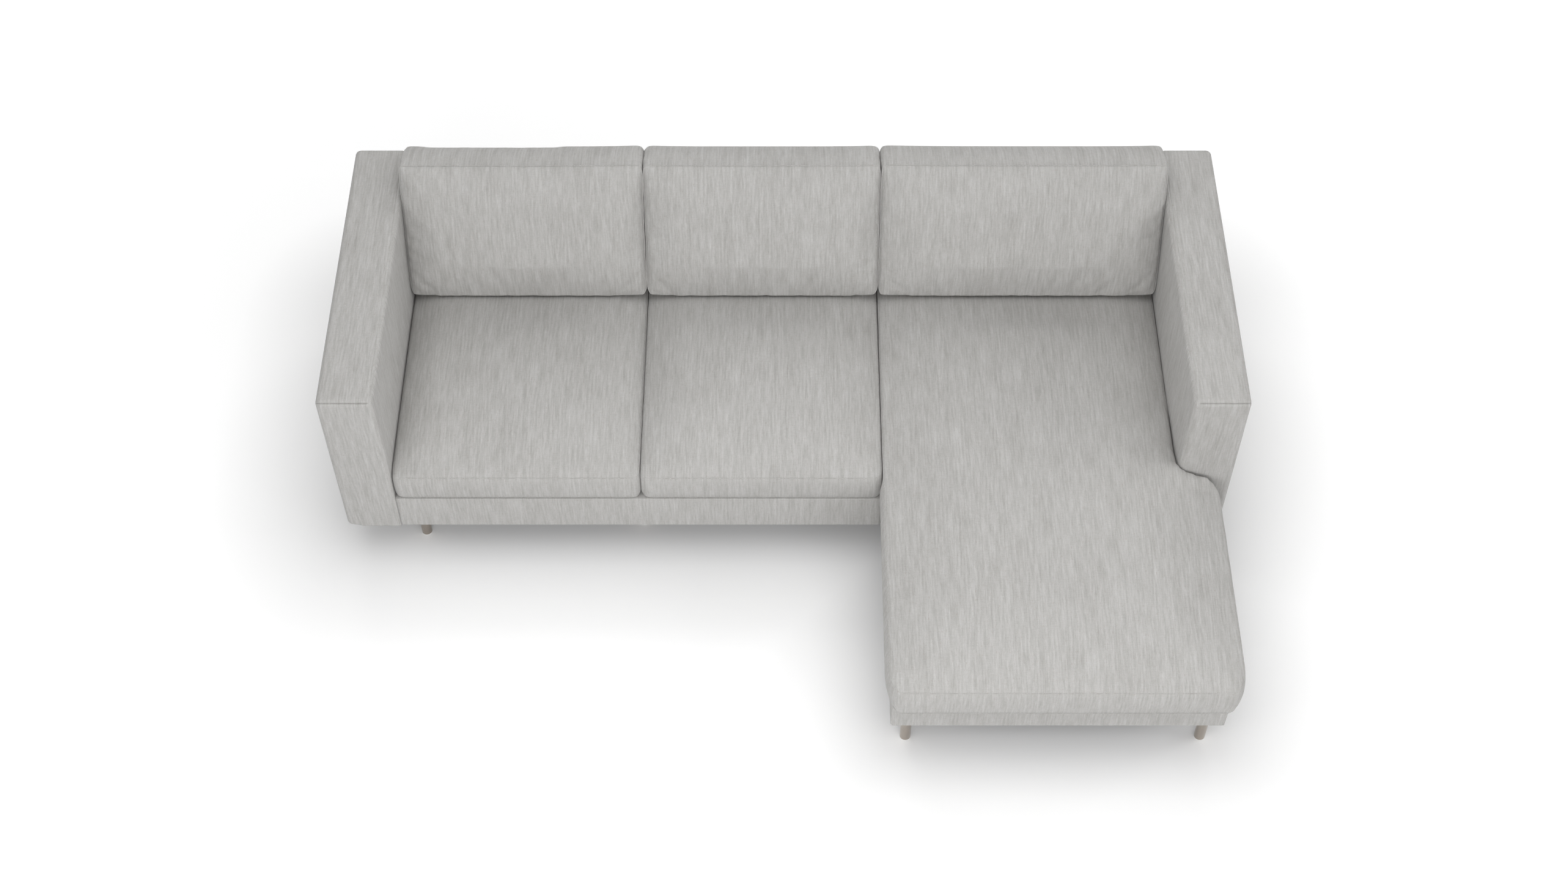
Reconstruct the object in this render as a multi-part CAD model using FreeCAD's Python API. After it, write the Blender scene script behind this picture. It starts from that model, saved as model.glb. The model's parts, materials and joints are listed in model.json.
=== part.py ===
import FreeCAD, Part
import math
import os

# A sectional sofa with a chaise, in millimetres: +Z is up and +Y points to the rear.
# The origin is on the floor, at the middle of the whole footprint. Left and right are
# those of a person who stands in front of the sofa and looks at it.

V = FreeCAD.Vector

# Outer sizes
overall_width = 2400.0
arm_width = 148.0
arm_depth = 910.0
arm_height = 678.0
leg_length = 132.0
base_height = 125.0
chaise_depth = 1538.0
chaise_width = 864.0
chaise_side_step = 60.0
chaise_overhang = 42.0
arm_proud = 3.0
arm_drop = 2.0
arm_edge_radius = 16.0
base_corner_radius = 10.0
module_gap = 8.0
wing_gap = 2.0

# Back: a wedge that is thin at the top, with its front face leaning to the rear
lean = 19.5
back_top_depth = 56.0

# Upholstery thicknesses
arm_padding = 12.0
back_padding = 12.0
base_cover_thickness = 4.0
base_lip_width = 57.0
under_lip_width = 20.0
under_lip_thickness = 1.2
deck_pad_thickness = 6.7
cushion_cover_thickness = 3.0

# Clearances
soft_gap = 0.3
arm_gap = 0.5
cushion_gap = 2.0

# Timber
rail_thickness = 22.0
cross_rail_height = 80.0
spring_rail_set_back = 5.0
panel_thickness = 3.0
arm_post_width = 60.0
arm_board_thickness = 22.0
rib_thickness = 20.0
back_top_rail_height = 20.0
back_mid_rail_height = 60.0
back_mid_rail_z = 430.0
leg_block_size = 70.0
leg_block_height = 40.0

# Springs and webbing
spring_wire = 4.0
spring_width = 52.0
spring_pitch = 32.0
spring_spacing = 128.0
spring_end_margin = 11.0
clip_width = 18.0
clip_length = 14.0
clip_thickness = 1.0
strap_width = 50.0
strap_thickness = 1.5
strap_gap = 0.3
strap_heights = (330.0, 430.0, 530.0, 605.0)

# Legs
tube_radius = 14.5
tube_wall = 1.5
leg_plate_size = 46.0
leg_plate_thickness = 3.0
glide_radius = 13.6
glide_thickness = 4.0
glide_spigot = 14.0
glide_fit = 0.2
screw_radius = 2.0
screw_head_radius = 4.0
screw_head_height = 2.0
screw_length = 28.0
screw_offset = 16.0
screw_fit = 0.2
leg_inset_side = 47.0
leg_inset_front = 71.0
leg_inset_rear = 71.0
support_leg_inset = 105.0
end_leg_inset = 140.0
chaise_leg_inset_left = 45.0
chaise_leg_inset_right = 42.0
chaise_leg_inset_front = 45.0

# Bolts that hold the arms to the seat base
bolt_radius = 4.0
bolt_head_radius = 7.0
bolt_head_height = 5.0
bolt_length = 70.0
bolt_fit = 0.3
bolt_height = 58.0

# Connectors between the two sections
plate_steel = 1.5
keeper_slot = 3.0
keeper_width = 60.0
keeper_bottom = 20.0
keeper_height = 50.0
keeper_web = 4.0
hook_width = 44.0
hook_play = 0.5
hook_drop = 34.0
hook_plate_height = 80.0
connector_rear_place = 480.0
connector_front_place = 60.0

# Seat cushions
seat_seam_height = 92.0
seat_crown = 50.0
seat_crown_at_ends = 9.0
seat_edge_radius = 22.0
seat_split_x = -385.0
chaise_cushion_left_overhang = 19.0
chaise_cushion_right_overhang = 26.0
chaise_cushion_settle = 30.0
wing_corner_radius = 12.0
wing_crown_run = 320.0

# Back cushions
back_cushion_z = 350.0
back_cushion_height = 404.0
back_cushion_thickness = 120.0
back_crown = 34.0
back_crown_at_ends = 12.0
back_edge_radius = 24.0

# Shared cushion form
cushion_corner_radius = 16.0
cushion_foot_radius = 9.0
side_draw = 3.0
round_steps = 3
foot_share = 0.4
crown_fullness = 0.7
body_stations = (0.14, 0.3, 0.5, 0.7, 0.86)

# Places that follow from the sizes above
half_width = overall_width / 2
rear_y = (chaise_depth + chaise_overhang) / 2
arm_front_y = rear_y - arm_depth
base_front_y = arm_front_y + arm_proud
chaise_front_y = rear_y - chaise_depth
cushion_front_y = -rear_y
arm_inner_x = half_width - arm_width
chaise_right_x = half_width - chaise_side_step
chaise_left_x = chaise_right_x - chaise_width
sofa_right_x = chaise_left_x - module_gap
wing_rear_y = arm_front_y - wing_gap
base_z = leg_length
cushion_z = base_z + base_height
deck_z = cushion_z - soft_gap
pad_z = deck_z - deck_pad_thickness
rail_top_z = pad_z - spring_wire - clip_thickness
rail_z = base_z + under_lip_thickness
back_rear_inner_y = rear_y - back_padding
tan_lean = math.tan(math.radians(lean))
cos_lean = math.cos(math.radians(lean))
sin_lean = math.sin(math.radians(lean))
seat_rear_y = rear_y - back_top_depth - (arm_height - cushion_z) * tan_lean
spring_rail_y = seat_rear_y + spring_rail_set_back
seat_split_left_x = seat_split_x - cushion_gap / 2
seat_split_right_x = seat_split_x + cushion_gap / 2
chaise_cushion_x = chaise_left_x - module_gap - 1.0
middle_cushion_x = chaise_cushion_x - cushion_gap


def back_face_y(z):
    """Place of the back's leaning front face at a height."""
    return rear_y - back_top_depth - (arm_height - z) * tan_lean


def block(x0, x1, y0, y1, z0, z1):
    """Rectangular solid between two opposite corners."""
    return Part.makeBox(x1 - x0, y1 - y0, z1 - z0, V(x0, y0, z0))


def rod(radius, start, end):
    """Round bar from one point to another."""
    return Part.makeCylinder(radius, (end - start).Length, start, end - start)


def prism_z(points, z0, z1):
    """Upright prism over a plan outline."""
    corners = [V(x, y, z0) for x, y in points]
    return Part.Face(Part.makePolygon(corners + corners[:1])).extrude(V(0, 0, z1 - z0))


def prism_x(points, x0, x1):
    """Prism along X over an outline given as depth and height."""
    corners = [V(x0, y, z) for y, z in points]
    return Part.Face(Part.makePolygon(corners + corners[:1])).extrude(V(x1 - x0, 0, 0))


def upright_edges(shape, places):
    """Vertical edges of a shape that stand at the given plan points."""
    found = []
    for edge in shape.Edges:
        a, b = edge.Vertexes[0].Point, edge.Vertexes[-1].Point
        upright = abs(a.x - b.x) < 0.01 and abs(a.y - b.y) < 0.01
        if upright and any(math.hypot(a.x - x, a.y - y) < 0.01 for x, y in places):
            found.append(edge)
    return found


def mirrored_x(shape):
    """The same piece on the other side of the sofa."""
    return shape.mirror(V(0, 0, 0), V(1, 0, 0))


def save(name, solids):
    """Write one sub-part, which may be several separate solids."""
    shape = solids[0] if len(solids) == 1 else Part.Compound(solids)
    shape.exportStep("parts/" + name + ".step")
    good = all(s.isValid() and s.isClosed() for s in shape.Solids)
    print(f"{name:26s} solids {len(shape.Solids):3d}  litres {shape.Volume / 1e6:8.3f}  valid {good}")


# Seat base rails

def cut_all(shape, tools):
    """A shape less each of the tools that reach it."""
    for tool in tools:
        if shape.BoundBox.intersect(tool.BoundBox):
            shape = shape.cut(tool)
    return shape


sofa_cover_x = sofa_right_x - base_cover_thickness
sofa_rail_front_y = base_front_y + base_cover_thickness
chaise_rail_x = chaise_left_x + base_cover_thickness
chaise_rail_front_y = chaise_front_y + base_cover_thickness
wing_rail_x = chaise_right_x - base_cover_thickness
wing_rail_rear_y = wing_rear_y - base_cover_thickness
cross_top_z = rail_z + cross_rail_height


def sofa_rails():
    """Front, rear, side and cross rails of the two-seat base."""
    t = rail_thickness
    inner_front = sofa_rail_front_y + t
    inner_rear = back_rear_inner_y - t
    left = -arm_inner_x
    middle = (left + sofa_cover_x) / 2
    return {
        "sofa_front_rail": [
            block(left, sofa_cover_x, sofa_rail_front_y, inner_front, rail_z, rail_top_z)],
        "sofa_rear_rail": [
            block(left, sofa_cover_x, inner_rear, back_rear_inner_y, rail_z, rail_top_z)],
        "sofa_side_rails": [
            block(left, left + t, inner_front, inner_rear, rail_z, rail_top_z),
            block(sofa_cover_x - t, sofa_cover_x, inner_front, inner_rear, rail_z, rail_top_z)],
        "sofa_cross_rails": [
            block(left + t, sofa_cover_x - t, spring_rail_y, spring_rail_y + t, rail_z, rail_top_z),
            block(middle - t / 2, middle + t / 2, inner_front, spring_rail_y, rail_z, cross_top_z),
            block(middle - t / 2, middle + t / 2, spring_rail_y + t, inner_rear, rail_z, cross_top_z)],
    }


def chaise_rails():
    """Rails of the long base, whose front is widened by a wing before the arm."""
    t = rail_thickness
    inner_front = chaise_rail_front_y + t
    inner_rear = back_rear_inner_y - t
    right = arm_inner_x
    middle_y = (inner_front + spring_rail_y) / 2
    return {
        "chaise_front_rail": [
            block(chaise_rail_x, wing_rail_x, chaise_rail_front_y, inner_front, rail_z, rail_top_z)],
        "chaise_rear_rail": [
            block(chaise_rail_x, right, inner_rear, back_rear_inner_y, rail_z, rail_top_z)],
        "chaise_side_rails": [
            block(chaise_rail_x, chaise_rail_x + t, inner_front, inner_rear, rail_z, rail_top_z),
            block(right - t, right, inner_front, inner_rear, rail_z, rail_top_z)],
        "chaise_wing_rails": [
            block(wing_rail_x - t, wing_rail_x, inner_front, wing_rail_rear_y - t, rail_z, rail_top_z),
            block(right, wing_rail_x, wing_rail_rear_y - t, wing_rail_rear_y, rail_z, rail_top_z)],
        "chaise_cross_rails": [
            block(chaise_rail_x + t, right - t, spring_rail_y, spring_rail_y + t, rail_z, rail_top_z),
            block(chaise_rail_x + t, right - t, middle_y, middle_y + t, rail_z, cross_top_z)],
    }


# Legs: a steel tube welded under a square plate, four screws and a plastic glide each

def sofa_leg_places():
    """Plan points of the legs under the two-seat section."""
    left = -arm_inner_x + leg_inset_side
    right = sofa_right_x - leg_inset_side
    middle = (-arm_inner_x + sofa_right_x) / 2
    rear = rear_y - leg_inset_rear
    return {
        "sofa_leg_front_left": (left, base_front_y + leg_inset_front),
        "sofa_leg_front_centre": (middle, base_front_y + support_leg_inset),
        "sofa_leg_front_right": (right, base_front_y + end_leg_inset),
        "sofa_leg_rear_left": (left, rear),
        "sofa_leg_rear_right": (right, rear),
    }


def chaise_leg_places():
    """Plan points of the legs under the chaise section."""
    left = chaise_left_x + chaise_leg_inset_left
    front = chaise_front_y + chaise_leg_inset_front
    rear = rear_y - leg_inset_rear
    return {
        "chaise_leg_front_left": (left, front),
        "chaise_leg_front_right": (chaise_right_x - chaise_leg_inset_right, front),
        "chaise_leg_rear_left": (left, rear),
        "chaise_leg_rear_right": (arm_inner_x - leg_inset_side, rear),
    }


def screw_places(place):
    """Plan points of the four screws round one leg."""
    x, y = place
    return [(x + i * screw_offset, y + j * screw_offset) for i in (-1, 1) for j in (-1, 1)]


def leg(place):
    """Hollow tube with its square plate, drilled for four screws."""
    x, y = place
    half = leg_plate_size / 2
    plate_z = base_z - leg_plate_thickness
    tube = rod(tube_radius, V(x, y, glide_thickness), V(x, y, plate_z))
    bore = rod(tube_radius - tube_wall, V(x, y, glide_thickness), V(x, y, plate_z))
    plate = block(x - half, x + half, y - half, y + half, plate_z, base_z)
    shape = tube.cut(bore).fuse(plate)
    for sx, sy in screw_places(place):
        shape = shape.cut(rod(screw_radius + screw_fit, V(sx, sy, plate_z), V(sx, sy, base_z)))
    return shape.removeSplitter()


def glide(place):
    """Plastic foot that plugs the tube's lower end."""
    x, y = place
    foot = rod(glide_radius, V(x, y, 0), V(x, y, glide_thickness))
    plug_radius = tube_radius - tube_wall - glide_fit
    plug = rod(plug_radius, V(x, y, glide_thickness), V(x, y, glide_thickness + glide_spigot))
    foot = foot.makeFillet(glide_thickness / 4, [e for e in foot.Edges if e.BoundBox.ZMax < 0.01])
    return foot.fuse(plug)


def leg_screws(places):
    """Pan-head screws that hold every leg plate of one section."""
    head_z = base_z - leg_plate_thickness
    screws = []
    for place in places:
        for x, y in screw_places(place):
            head = rod(screw_head_radius, V(x, y, head_z - screw_head_height), V(x, y, head_z))
            shank = rod(screw_radius, V(x, y, head_z), V(x, y, head_z + screw_length))
            screws.append(head.fuse(shank))
    return screws


def screw_holes(places):
    """Clearance holes above the leg plates."""
    radius = screw_radius + screw_fit
    top = base_z - leg_plate_thickness + screw_length + screw_fit
    holes = []
    for place in places:
        holes += [rod(radius, V(x, y, base_z), V(x, y, top)) for x, y in screw_places(place)]
    return holes


def leg_blocks(places, rails):
    """Timber blocks above the legs, fitted between the rails."""
    half = leg_block_size / 2
    blocks = []
    for x, y in places:
        piece = block(x - half, x + half, y - half, y + half, rail_z, rail_z + leg_block_height)
        blocks += cut_all(piece, rails).Solids
    return blocks


# Springs

def serpentine(length):
    """Zigzag wire spring along +X: straight cross runs joined by half-circle bends."""
    bend = spring_pitch / 2
    reach = spring_width / 2 - bend
    runs = int(length // spring_pitch)
    radius = spring_wire / 2
    edges = []
    side = -1
    for k in range(runs + 1):
        x = k * spring_pitch
        edges.append(Part.LineSegment(V(x, side * reach, 0), V(x, -side * reach, 0)).toShape())
        side = -side
        if k < runs:
            top = V(x + bend, side * (reach + bend), 0)
            edges.append(Part.Arc(V(x, side * reach, 0), top, V(x + spring_pitch, side * reach, 0)).toShape())
    path = Part.Wire(edges)
    ring = Part.Wire([Part.makeCircle(radius, V(0, -reach, 0), V(0, 1, 0))])
    return path.makePipeShell([ring], True, False), runs * spring_pitch


def clip():
    """Bent steel clip over a spring's end run, standing on a rail."""
    body = block(-clip_length / 2, clip_length / 2, -clip_width / 2, clip_width / 2,
                 0, spring_wire + clip_thickness)
    channel = block(-spring_wire / 2, spring_wire / 2, -clip_width, clip_width, 0, spring_wire)
    return body.cut(channel)


def spring_set(start, step, count, turn, length):
    """A row of springs with a clip at both ends of each."""
    spring, reach = serpentine(length)
    slack = (length - reach) / 2
    springs = []
    clips = []
    for k in range(count):
        place = start + step * k
        for piece, along, group, up in (
            (spring, slack, springs, spring_wire / 2),
            (clip(), slack, clips, 0.0),
            (clip(), slack + reach, clips, 0.0),
        ):
            copy = piece.copy()
            copy.translate(V(along, 0, up))
            copy.rotate(V(0, 0, 0), V(0, 0, 1), turn)
            copy.translate(place)
            group.append(copy)
    return springs, clips


def row_of(count_span):
    """How many springs fit a span, and the first one's offset from its start."""
    count = int(count_span // spring_spacing)
    return count, (count_span - (count - 1) * spring_spacing) / 2


def sofa_springs():
    """Springs that run from the front rail to the rail under the back."""
    first_y = sofa_rail_front_y + spring_end_margin
    length = spring_rail_y + rail_thickness - spring_end_margin - first_y
    x0 = -arm_inner_x + rail_thickness
    count, offset = row_of(sofa_cover_x - rail_thickness - x0)
    start = V(x0 + offset, first_y, rail_top_z)
    return spring_set(start, V(spring_spacing, 0, 0), count, 90, length)


def chaise_springs():
    """Springs that run across the chaise from side rail to side rail."""
    first_x = chaise_rail_x + spring_end_margin
    length = arm_inner_x - spring_end_margin - first_x
    y0 = chaise_rail_front_y + rail_thickness
    count, offset = row_of(spring_rail_y - y0)
    start = V(first_x, y0 + offset, rail_top_z)
    return spring_set(start, V(0, spring_spacing, 0), count, 0, length)


# Base upholstery

def sofa_base_cover():
    """Padded fabric over the front rail and the hidden right side of the base."""
    left = -arm_inner_x
    skin = block(left, sofa_right_x, base_front_y, back_rear_inner_y, base_z, deck_z)
    inside = block(left, sofa_cover_x, sofa_rail_front_y, back_rear_inner_y, rail_z, pad_z)
    top = block(left, sofa_cover_x, base_front_y + base_lip_width, back_rear_inner_y, pad_z, deck_z)
    under = block(left, sofa_cover_x - under_lip_width, sofa_rail_front_y + under_lip_width,
                  back_rear_inner_y, base_z, rail_z)
    return cut_all(skin, [inside, top, under])


def sofa_deck():
    """Felt pad on the springs, which the loose cushions lie on."""
    return block(-arm_inner_x, sofa_cover_x - soft_gap, base_front_y + base_lip_width + soft_gap,
                 seat_rear_y - soft_gap, pad_z, deck_z)


def sofa_dust_cover():
    """Thin cloth that closes the base from below."""
    return block(-arm_inner_x, sofa_cover_x - under_lip_width - soft_gap,
                 sofa_rail_front_y + under_lip_width + soft_gap, back_rear_inner_y, base_z, rail_z)


def chaise_plan(inset, front_inset, right, rear):
    """Plan outline of the chaise base: a long strip with a wing before the arm."""
    x0 = chaise_left_x + inset
    x1 = chaise_right_x - inset
    y0 = chaise_front_y + front_inset
    wing = wing_rear_y - inset
    return [(x0, rear), (x0, y0), (x1, y0), (x1, wing), (right, wing), (right, rear)]


def chaise_base_cover():
    """Padded fabric round the chaise base, with its corners rounded."""
    cover = base_cover_thickness
    rear = back_rear_inner_y
    right = arm_inner_x
    skin = prism_z(chaise_plan(0, 0, right, rear), base_z, deck_z)
    corners = [(chaise_left_x, chaise_front_y), (chaise_right_x, chaise_front_y),
               (chaise_right_x, wing_rear_y)]
    skin = skin.makeFillet(base_corner_radius, upright_edges(skin, corners))
    inside = prism_z(chaise_plan(cover, cover, right, rear), rail_z, pad_z)
    top = prism_z(chaise_plan(cover, base_lip_width, right, rear), pad_z, deck_z)
    under_inset = cover + under_lip_width
    under = prism_z(chaise_plan(under_inset, under_inset, right, rear), base_z, rail_z)
    return cut_all(skin, [inside, top, under])


def chaise_deck():
    """Felt pad on the chaise springs."""
    inset = base_cover_thickness + soft_gap
    plan = chaise_plan(inset, base_lip_width + soft_gap, arm_inner_x, seat_rear_y - soft_gap)
    return prism_z(plan, pad_z, deck_z)


def chaise_dust_cover():
    """Thin cloth that closes the chaise base from below."""
    inset = base_cover_thickness + under_lip_width + soft_gap
    return prism_z(chaise_plan(inset, inset, arm_inner_x, back_rear_inner_y), base_z, rail_z)


# Arms: the right one is modelled and the left one is its mirror image

arm_bottom_z = base_z - arm_drop
arm_frame_x0 = arm_inner_x + arm_padding
arm_frame_x1 = half_width - arm_padding
arm_frame_y0 = arm_front_y + arm_padding
arm_frame_y1 = rear_y - arm_padding
arm_frame_top = arm_height - arm_padding


def bolt_places():
    """Depth of each arm bolt, at the middle of its post."""
    half = arm_post_width / 2
    return [arm_frame_y0 + half, (arm_frame_y0 + arm_frame_y1) / 2, arm_frame_y1 - half]


def arm_bolts():
    """Bolts from inside the seat base into the arm's posts."""
    z = base_z + bolt_height
    start = arm_inner_x - rail_thickness
    bolts = []
    for y in bolt_places():
        head = rod(bolt_head_radius, V(start - bolt_head_height, y, z), V(start, y, z))
        shank = rod(bolt_radius, V(start, y, z), V(start + bolt_length, y, z))
        bolts.append(head.fuse(shank))
    return bolts


def bolt_holes():
    """Clearance holes for the arm bolts."""
    z = base_z + bolt_height
    start = arm_inner_x - rail_thickness
    end = start + bolt_length + bolt_fit
    return [rod(bolt_radius + bolt_fit, V(start, y, z), V(end, y, z)) for y in bolt_places()]


def arm_cover():
    """Fabric and padding drawn over the arm's frame, open below."""
    skin = block(arm_inner_x, half_width, arm_front_y, rear_y, arm_bottom_z, arm_height)
    free_corners = [(arm_inner_x, arm_front_y), (half_width, arm_front_y), (half_width, rear_y)]
    edges = [e for e in skin.Edges if e.BoundBox.ZMin > arm_height - 0.01]
    skin = skin.makeFillet(arm_edge_radius, edges + upright_edges(skin, free_corners))
    cavity = block(arm_frame_x0, arm_frame_x1, arm_frame_y0, arm_frame_y1, arm_bottom_z, arm_frame_top)
    return cut_all(skin, [cavity] + bolt_holes())


def arm_frame():
    """Three posts, a board below and above them, and a panel on each face."""
    x0 = arm_frame_x0 + panel_thickness
    x1 = arm_frame_x1 - panel_thickness
    low = arm_bottom_z + arm_board_thickness
    high = arm_frame_top - arm_board_thickness
    half = arm_post_width / 2
    pieces = [
        block(arm_frame_x0, arm_frame_x1, arm_frame_y0, arm_frame_y1, arm_bottom_z, low),
        block(arm_frame_x0, arm_frame_x1, arm_frame_y0, arm_frame_y1, high, arm_frame_top),
        block(arm_frame_x0, x0, arm_frame_y0, arm_frame_y1, low, high),
        block(x1, arm_frame_x1, arm_frame_y0, arm_frame_y1, low, high),
    ]
    pieces += [block(x0, x1, y - half, y + half, low, high) for y in bolt_places()]
    return [cut_all(piece, bolt_holes()) for piece in pieces]


# Backs: wedge-shaped ribs joined by rails, straps across their leaning edges, and a cover

def slope_point(z, depth):
    """Point at a height on the plane that lies a depth inside the back's leaning face."""
    return back_face_y(z) + depth / cos_lean, z


def back_cover(x0, x1):
    """Fabric and padding over one back, open below, with a skirt behind the base."""
    inner_top = arm_height - back_padding
    outline = [(rear_y, base_z), (rear_y, arm_height), slope_point(arm_height, 0),
               slope_point(cushion_z, 0), (back_rear_inner_y, cushion_z), (back_rear_inner_y, base_z)]
    hollow = [(back_rear_inner_y, pad_z), (back_rear_inner_y, inner_top),
              slope_point(inner_top, back_padding), slope_point(cushion_z, back_padding),
              slope_point(pad_z, back_padding)]
    skin = prism_x(outline, x0, x1)
    return skin.cut(prism_x(hollow, x0 + back_padding, x1 - back_padding))


def back_frame(x0, x1, rib_count):
    """Ribs that stand on the base rails, with a top and a middle rail between them."""
    inner_x0 = x0 + back_padding
    inner_x1 = x1 - back_padding
    inner_top = arm_height - back_padding
    face = back_padding + strap_thickness + strap_gap
    rib = [(back_rear_inner_y, rail_top_z), (back_rear_inner_y, inner_top),
           slope_point(inner_top, face), slope_point(rail_top_z, face)]
    pitch = (inner_x1 - inner_x0 - rib_thickness) / (rib_count - 1)
    starts = [inner_x0 + k * pitch for k in range(rib_count)]
    pieces = [prism_x(rib, x, x + rib_thickness) for x in starts]
    top_low = inner_top - back_top_rail_height
    mid_high = back_mid_rail_z + back_mid_rail_height
    top_rail = [(back_rear_inner_y, top_low), (back_rear_inner_y, inner_top),
                slope_point(inner_top, face), (slope_point(inner_top, face)[0], top_low)]
    mid_rail = [(back_rear_inner_y, back_mid_rail_z), (back_rear_inner_y, mid_high),
                (back_rear_inner_y - rail_thickness, mid_high),
                (back_rear_inner_y - rail_thickness, back_mid_rail_z)]
    for x in starts[:-1]:
        pieces.append(prism_x(top_rail, x + rib_thickness, x + pitch))
        pieces.append(prism_x(mid_rail, x + rib_thickness, x + pitch))
    return pieces


def back_webbing(x0, x1):
    """Elastic straps across the ribs, behind the cover's leaning face."""
    straps = []
    for z in strap_heights:
        y, _ = slope_point(z, back_padding + strap_thickness + strap_gap)
        up_y, up_z = strap_width * sin_lean, strap_width * cos_lean
        out_y, out_z = -strap_thickness * cos_lean, strap_thickness * sin_lean
        outline = [(y, z), (y + up_y, z + up_z), (y + up_y + out_y, z + up_z + out_z), (y + out_y, z + out_z)]
        straps.append(prism_x(outline, x0 + back_padding, x1 - back_padding))
    return straps


# Connectors: a hook on the chaise drops behind a keeper on the sofa

keeper_x = sofa_right_x
keeper_strap_x = keeper_x + plate_steel + keeper_slot


def keeper(y):
    """Plate with a raised strap that leaves a slot open above and below."""
    low = base_z + keeper_bottom
    high = low + keeper_height
    half = keeper_width / 2
    body = block(keeper_x, keeper_strap_x + plate_steel, y - half, y + half, low, high)
    slot = block(keeper_x + plate_steel, keeper_strap_x, y - half + keeper_web, y + half - keeper_web,
                 low, high)
    return body.cut(slot)


def hook(y):
    """Plate with a bridge over the keeper's strap and a tongue down into its slot."""
    strap_top = base_z + keeper_bottom + keeper_height
    bridge_low = strap_top + hook_play
    bridge_high = bridge_low + plate_steel
    half = hook_width / 2
    tongue_x0 = keeper_x + plate_steel + hook_play
    tongue_x1 = keeper_strap_x - hook_play
    plate = block(chaise_left_x - plate_steel, chaise_left_x, y - half, y + half,
                  bridge_high - hook_plate_height, bridge_high)
    bridge = block(tongue_x0, chaise_left_x, y - half, y + half, bridge_low, bridge_high)
    tongue = block(tongue_x0, tongue_x1, y - half, y + half, bridge_high - hook_drop, bridge_high)
    return plate.fuse([bridge, tongue]).removeSplitter()


# Cushions

def cushion_ring(y, x0, x1, crown_x1, z0, seam, crown, corner, foot, draw):
    """Cross-section of a boxed cushion: flat foot, drawn-in sides, rounded edges, crowned top.

    The crown is a parabola from x0 to crown_x1, which the right side at x1 may cut short.
    """
    diagonal = 1 - math.sqrt(0.5)
    middle_x = (x0 + x1) / 2
    middle_z = (z0 + seam) / 2
    crown_x = (x0 + crown_x1) / 2
    crown_reach = (crown_x1 - x0) / 2 - corner

    def top(x):
        """Height of the crowned top."""
        return seam + crown * (1 - ((x - crown_x) / crown_reach) ** 2)

    right = top(x1 - corner)
    points = [V(x0 + foot, y, z0), V(x1 - foot, y, z0), V(x1, y, z0 + foot), V(x1, y, right - corner),
              V(x1 - corner, y, right), V(x0 + corner, y, seam), V(x0, y, seam - corner),
              V(x0, y, z0 + foot)]
    via = {
        1: V(x1 - foot * diagonal, y, z0 + foot * diagonal),
        2: V(x1 - draw, y, middle_z),
        3: V(x1 - corner * diagonal, y, right - corner * diagonal),
        4: V(middle_x, y, top(middle_x)),
        5: V(x0 + corner * diagonal, y, seam - corner * diagonal),
        6: V(x0 + draw, y, middle_z),
        7: V(x0 + foot * diagonal, y, z0 + foot * diagonal),
    }
    edges = [Part.LineSegment(points[0], points[1]).toShape()]
    for k, middle in via.items():
        edges.append(Part.Arc(points[k], middle, points[(k + 1) % 8]).toShape())
    return Part.Wire(edges)


def cushion_form(y0, y1, z0, seam, crown, crown_end, edge_radius, left, right, inset,
                 crown_right=None, extra=()):
    """Crowned cushion as a loft of rings from front to rear, drawn in all round by an inset."""
    crown_right = crown_right or right
    y0 += inset
    y1 -= inset
    radius = edge_radius - inset / 2
    corner = cushion_corner_radius - inset
    foot = cushion_foot_radius - inset
    stations = []
    for k in range(round_steps + 1):
        turn = math.radians(90 * k / round_steps)
        along = radius * (1 - math.cos(turn))
        back = radius * (1 - math.sin(turn))
        stations += [(y0 + along, back), (y1 - along, back)]
    stations += [(y0 + (y1 - y0) * t, 0.0) for t in body_stations]
    stations += [(y, 0.0) for y in extra]
    rings = []
    for y, back in sorted(set(stations)):
        swell = max(math.sin(math.pi * (y - y0) / (y1 - y0)), 0.0) ** crown_fullness
        rise = crown_end + (crown - crown_end) * swell
        foot_rise = back * foot_share
        rings.append(cushion_ring(y, left(y) + inset + back, right(y) - inset - back,
                                  crown_right(y) - inset - back, z0 + inset + foot_rise,
                                  seam - inset - back, rise, corner, foot, side_draw))
    return Part.makeLoft(rings, True, True)


def steady(value):
    """An edge that runs straight from front to rear."""
    return lambda y: value


def seat_form(x0, x1, inset):
    """Seat cushion between two side limits, pressed flat where the back cushion stands on it."""
    form = cushion_form(base_front_y - 2.0, seat_rear_y - arm_gap, cushion_z, cushion_z + seat_seam_height,
                        seat_crown, seat_crown_at_ends, seat_edge_radius, steady(x0), steady(x1), inset)
    return form.cut(pressed_by_back(inset))


def chaise_left_edge(y):
    """Left edge of the chaise cushion, which swells past its base in front of the other seats."""
    free = chaise_left_x - chaise_cushion_left_overhang
    settle = min(max((base_front_y - 6.0 - y) / chaise_cushion_settle, 0.0), 1.0)
    return chaise_cushion_x + (free - chaise_cushion_x) * settle


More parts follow.
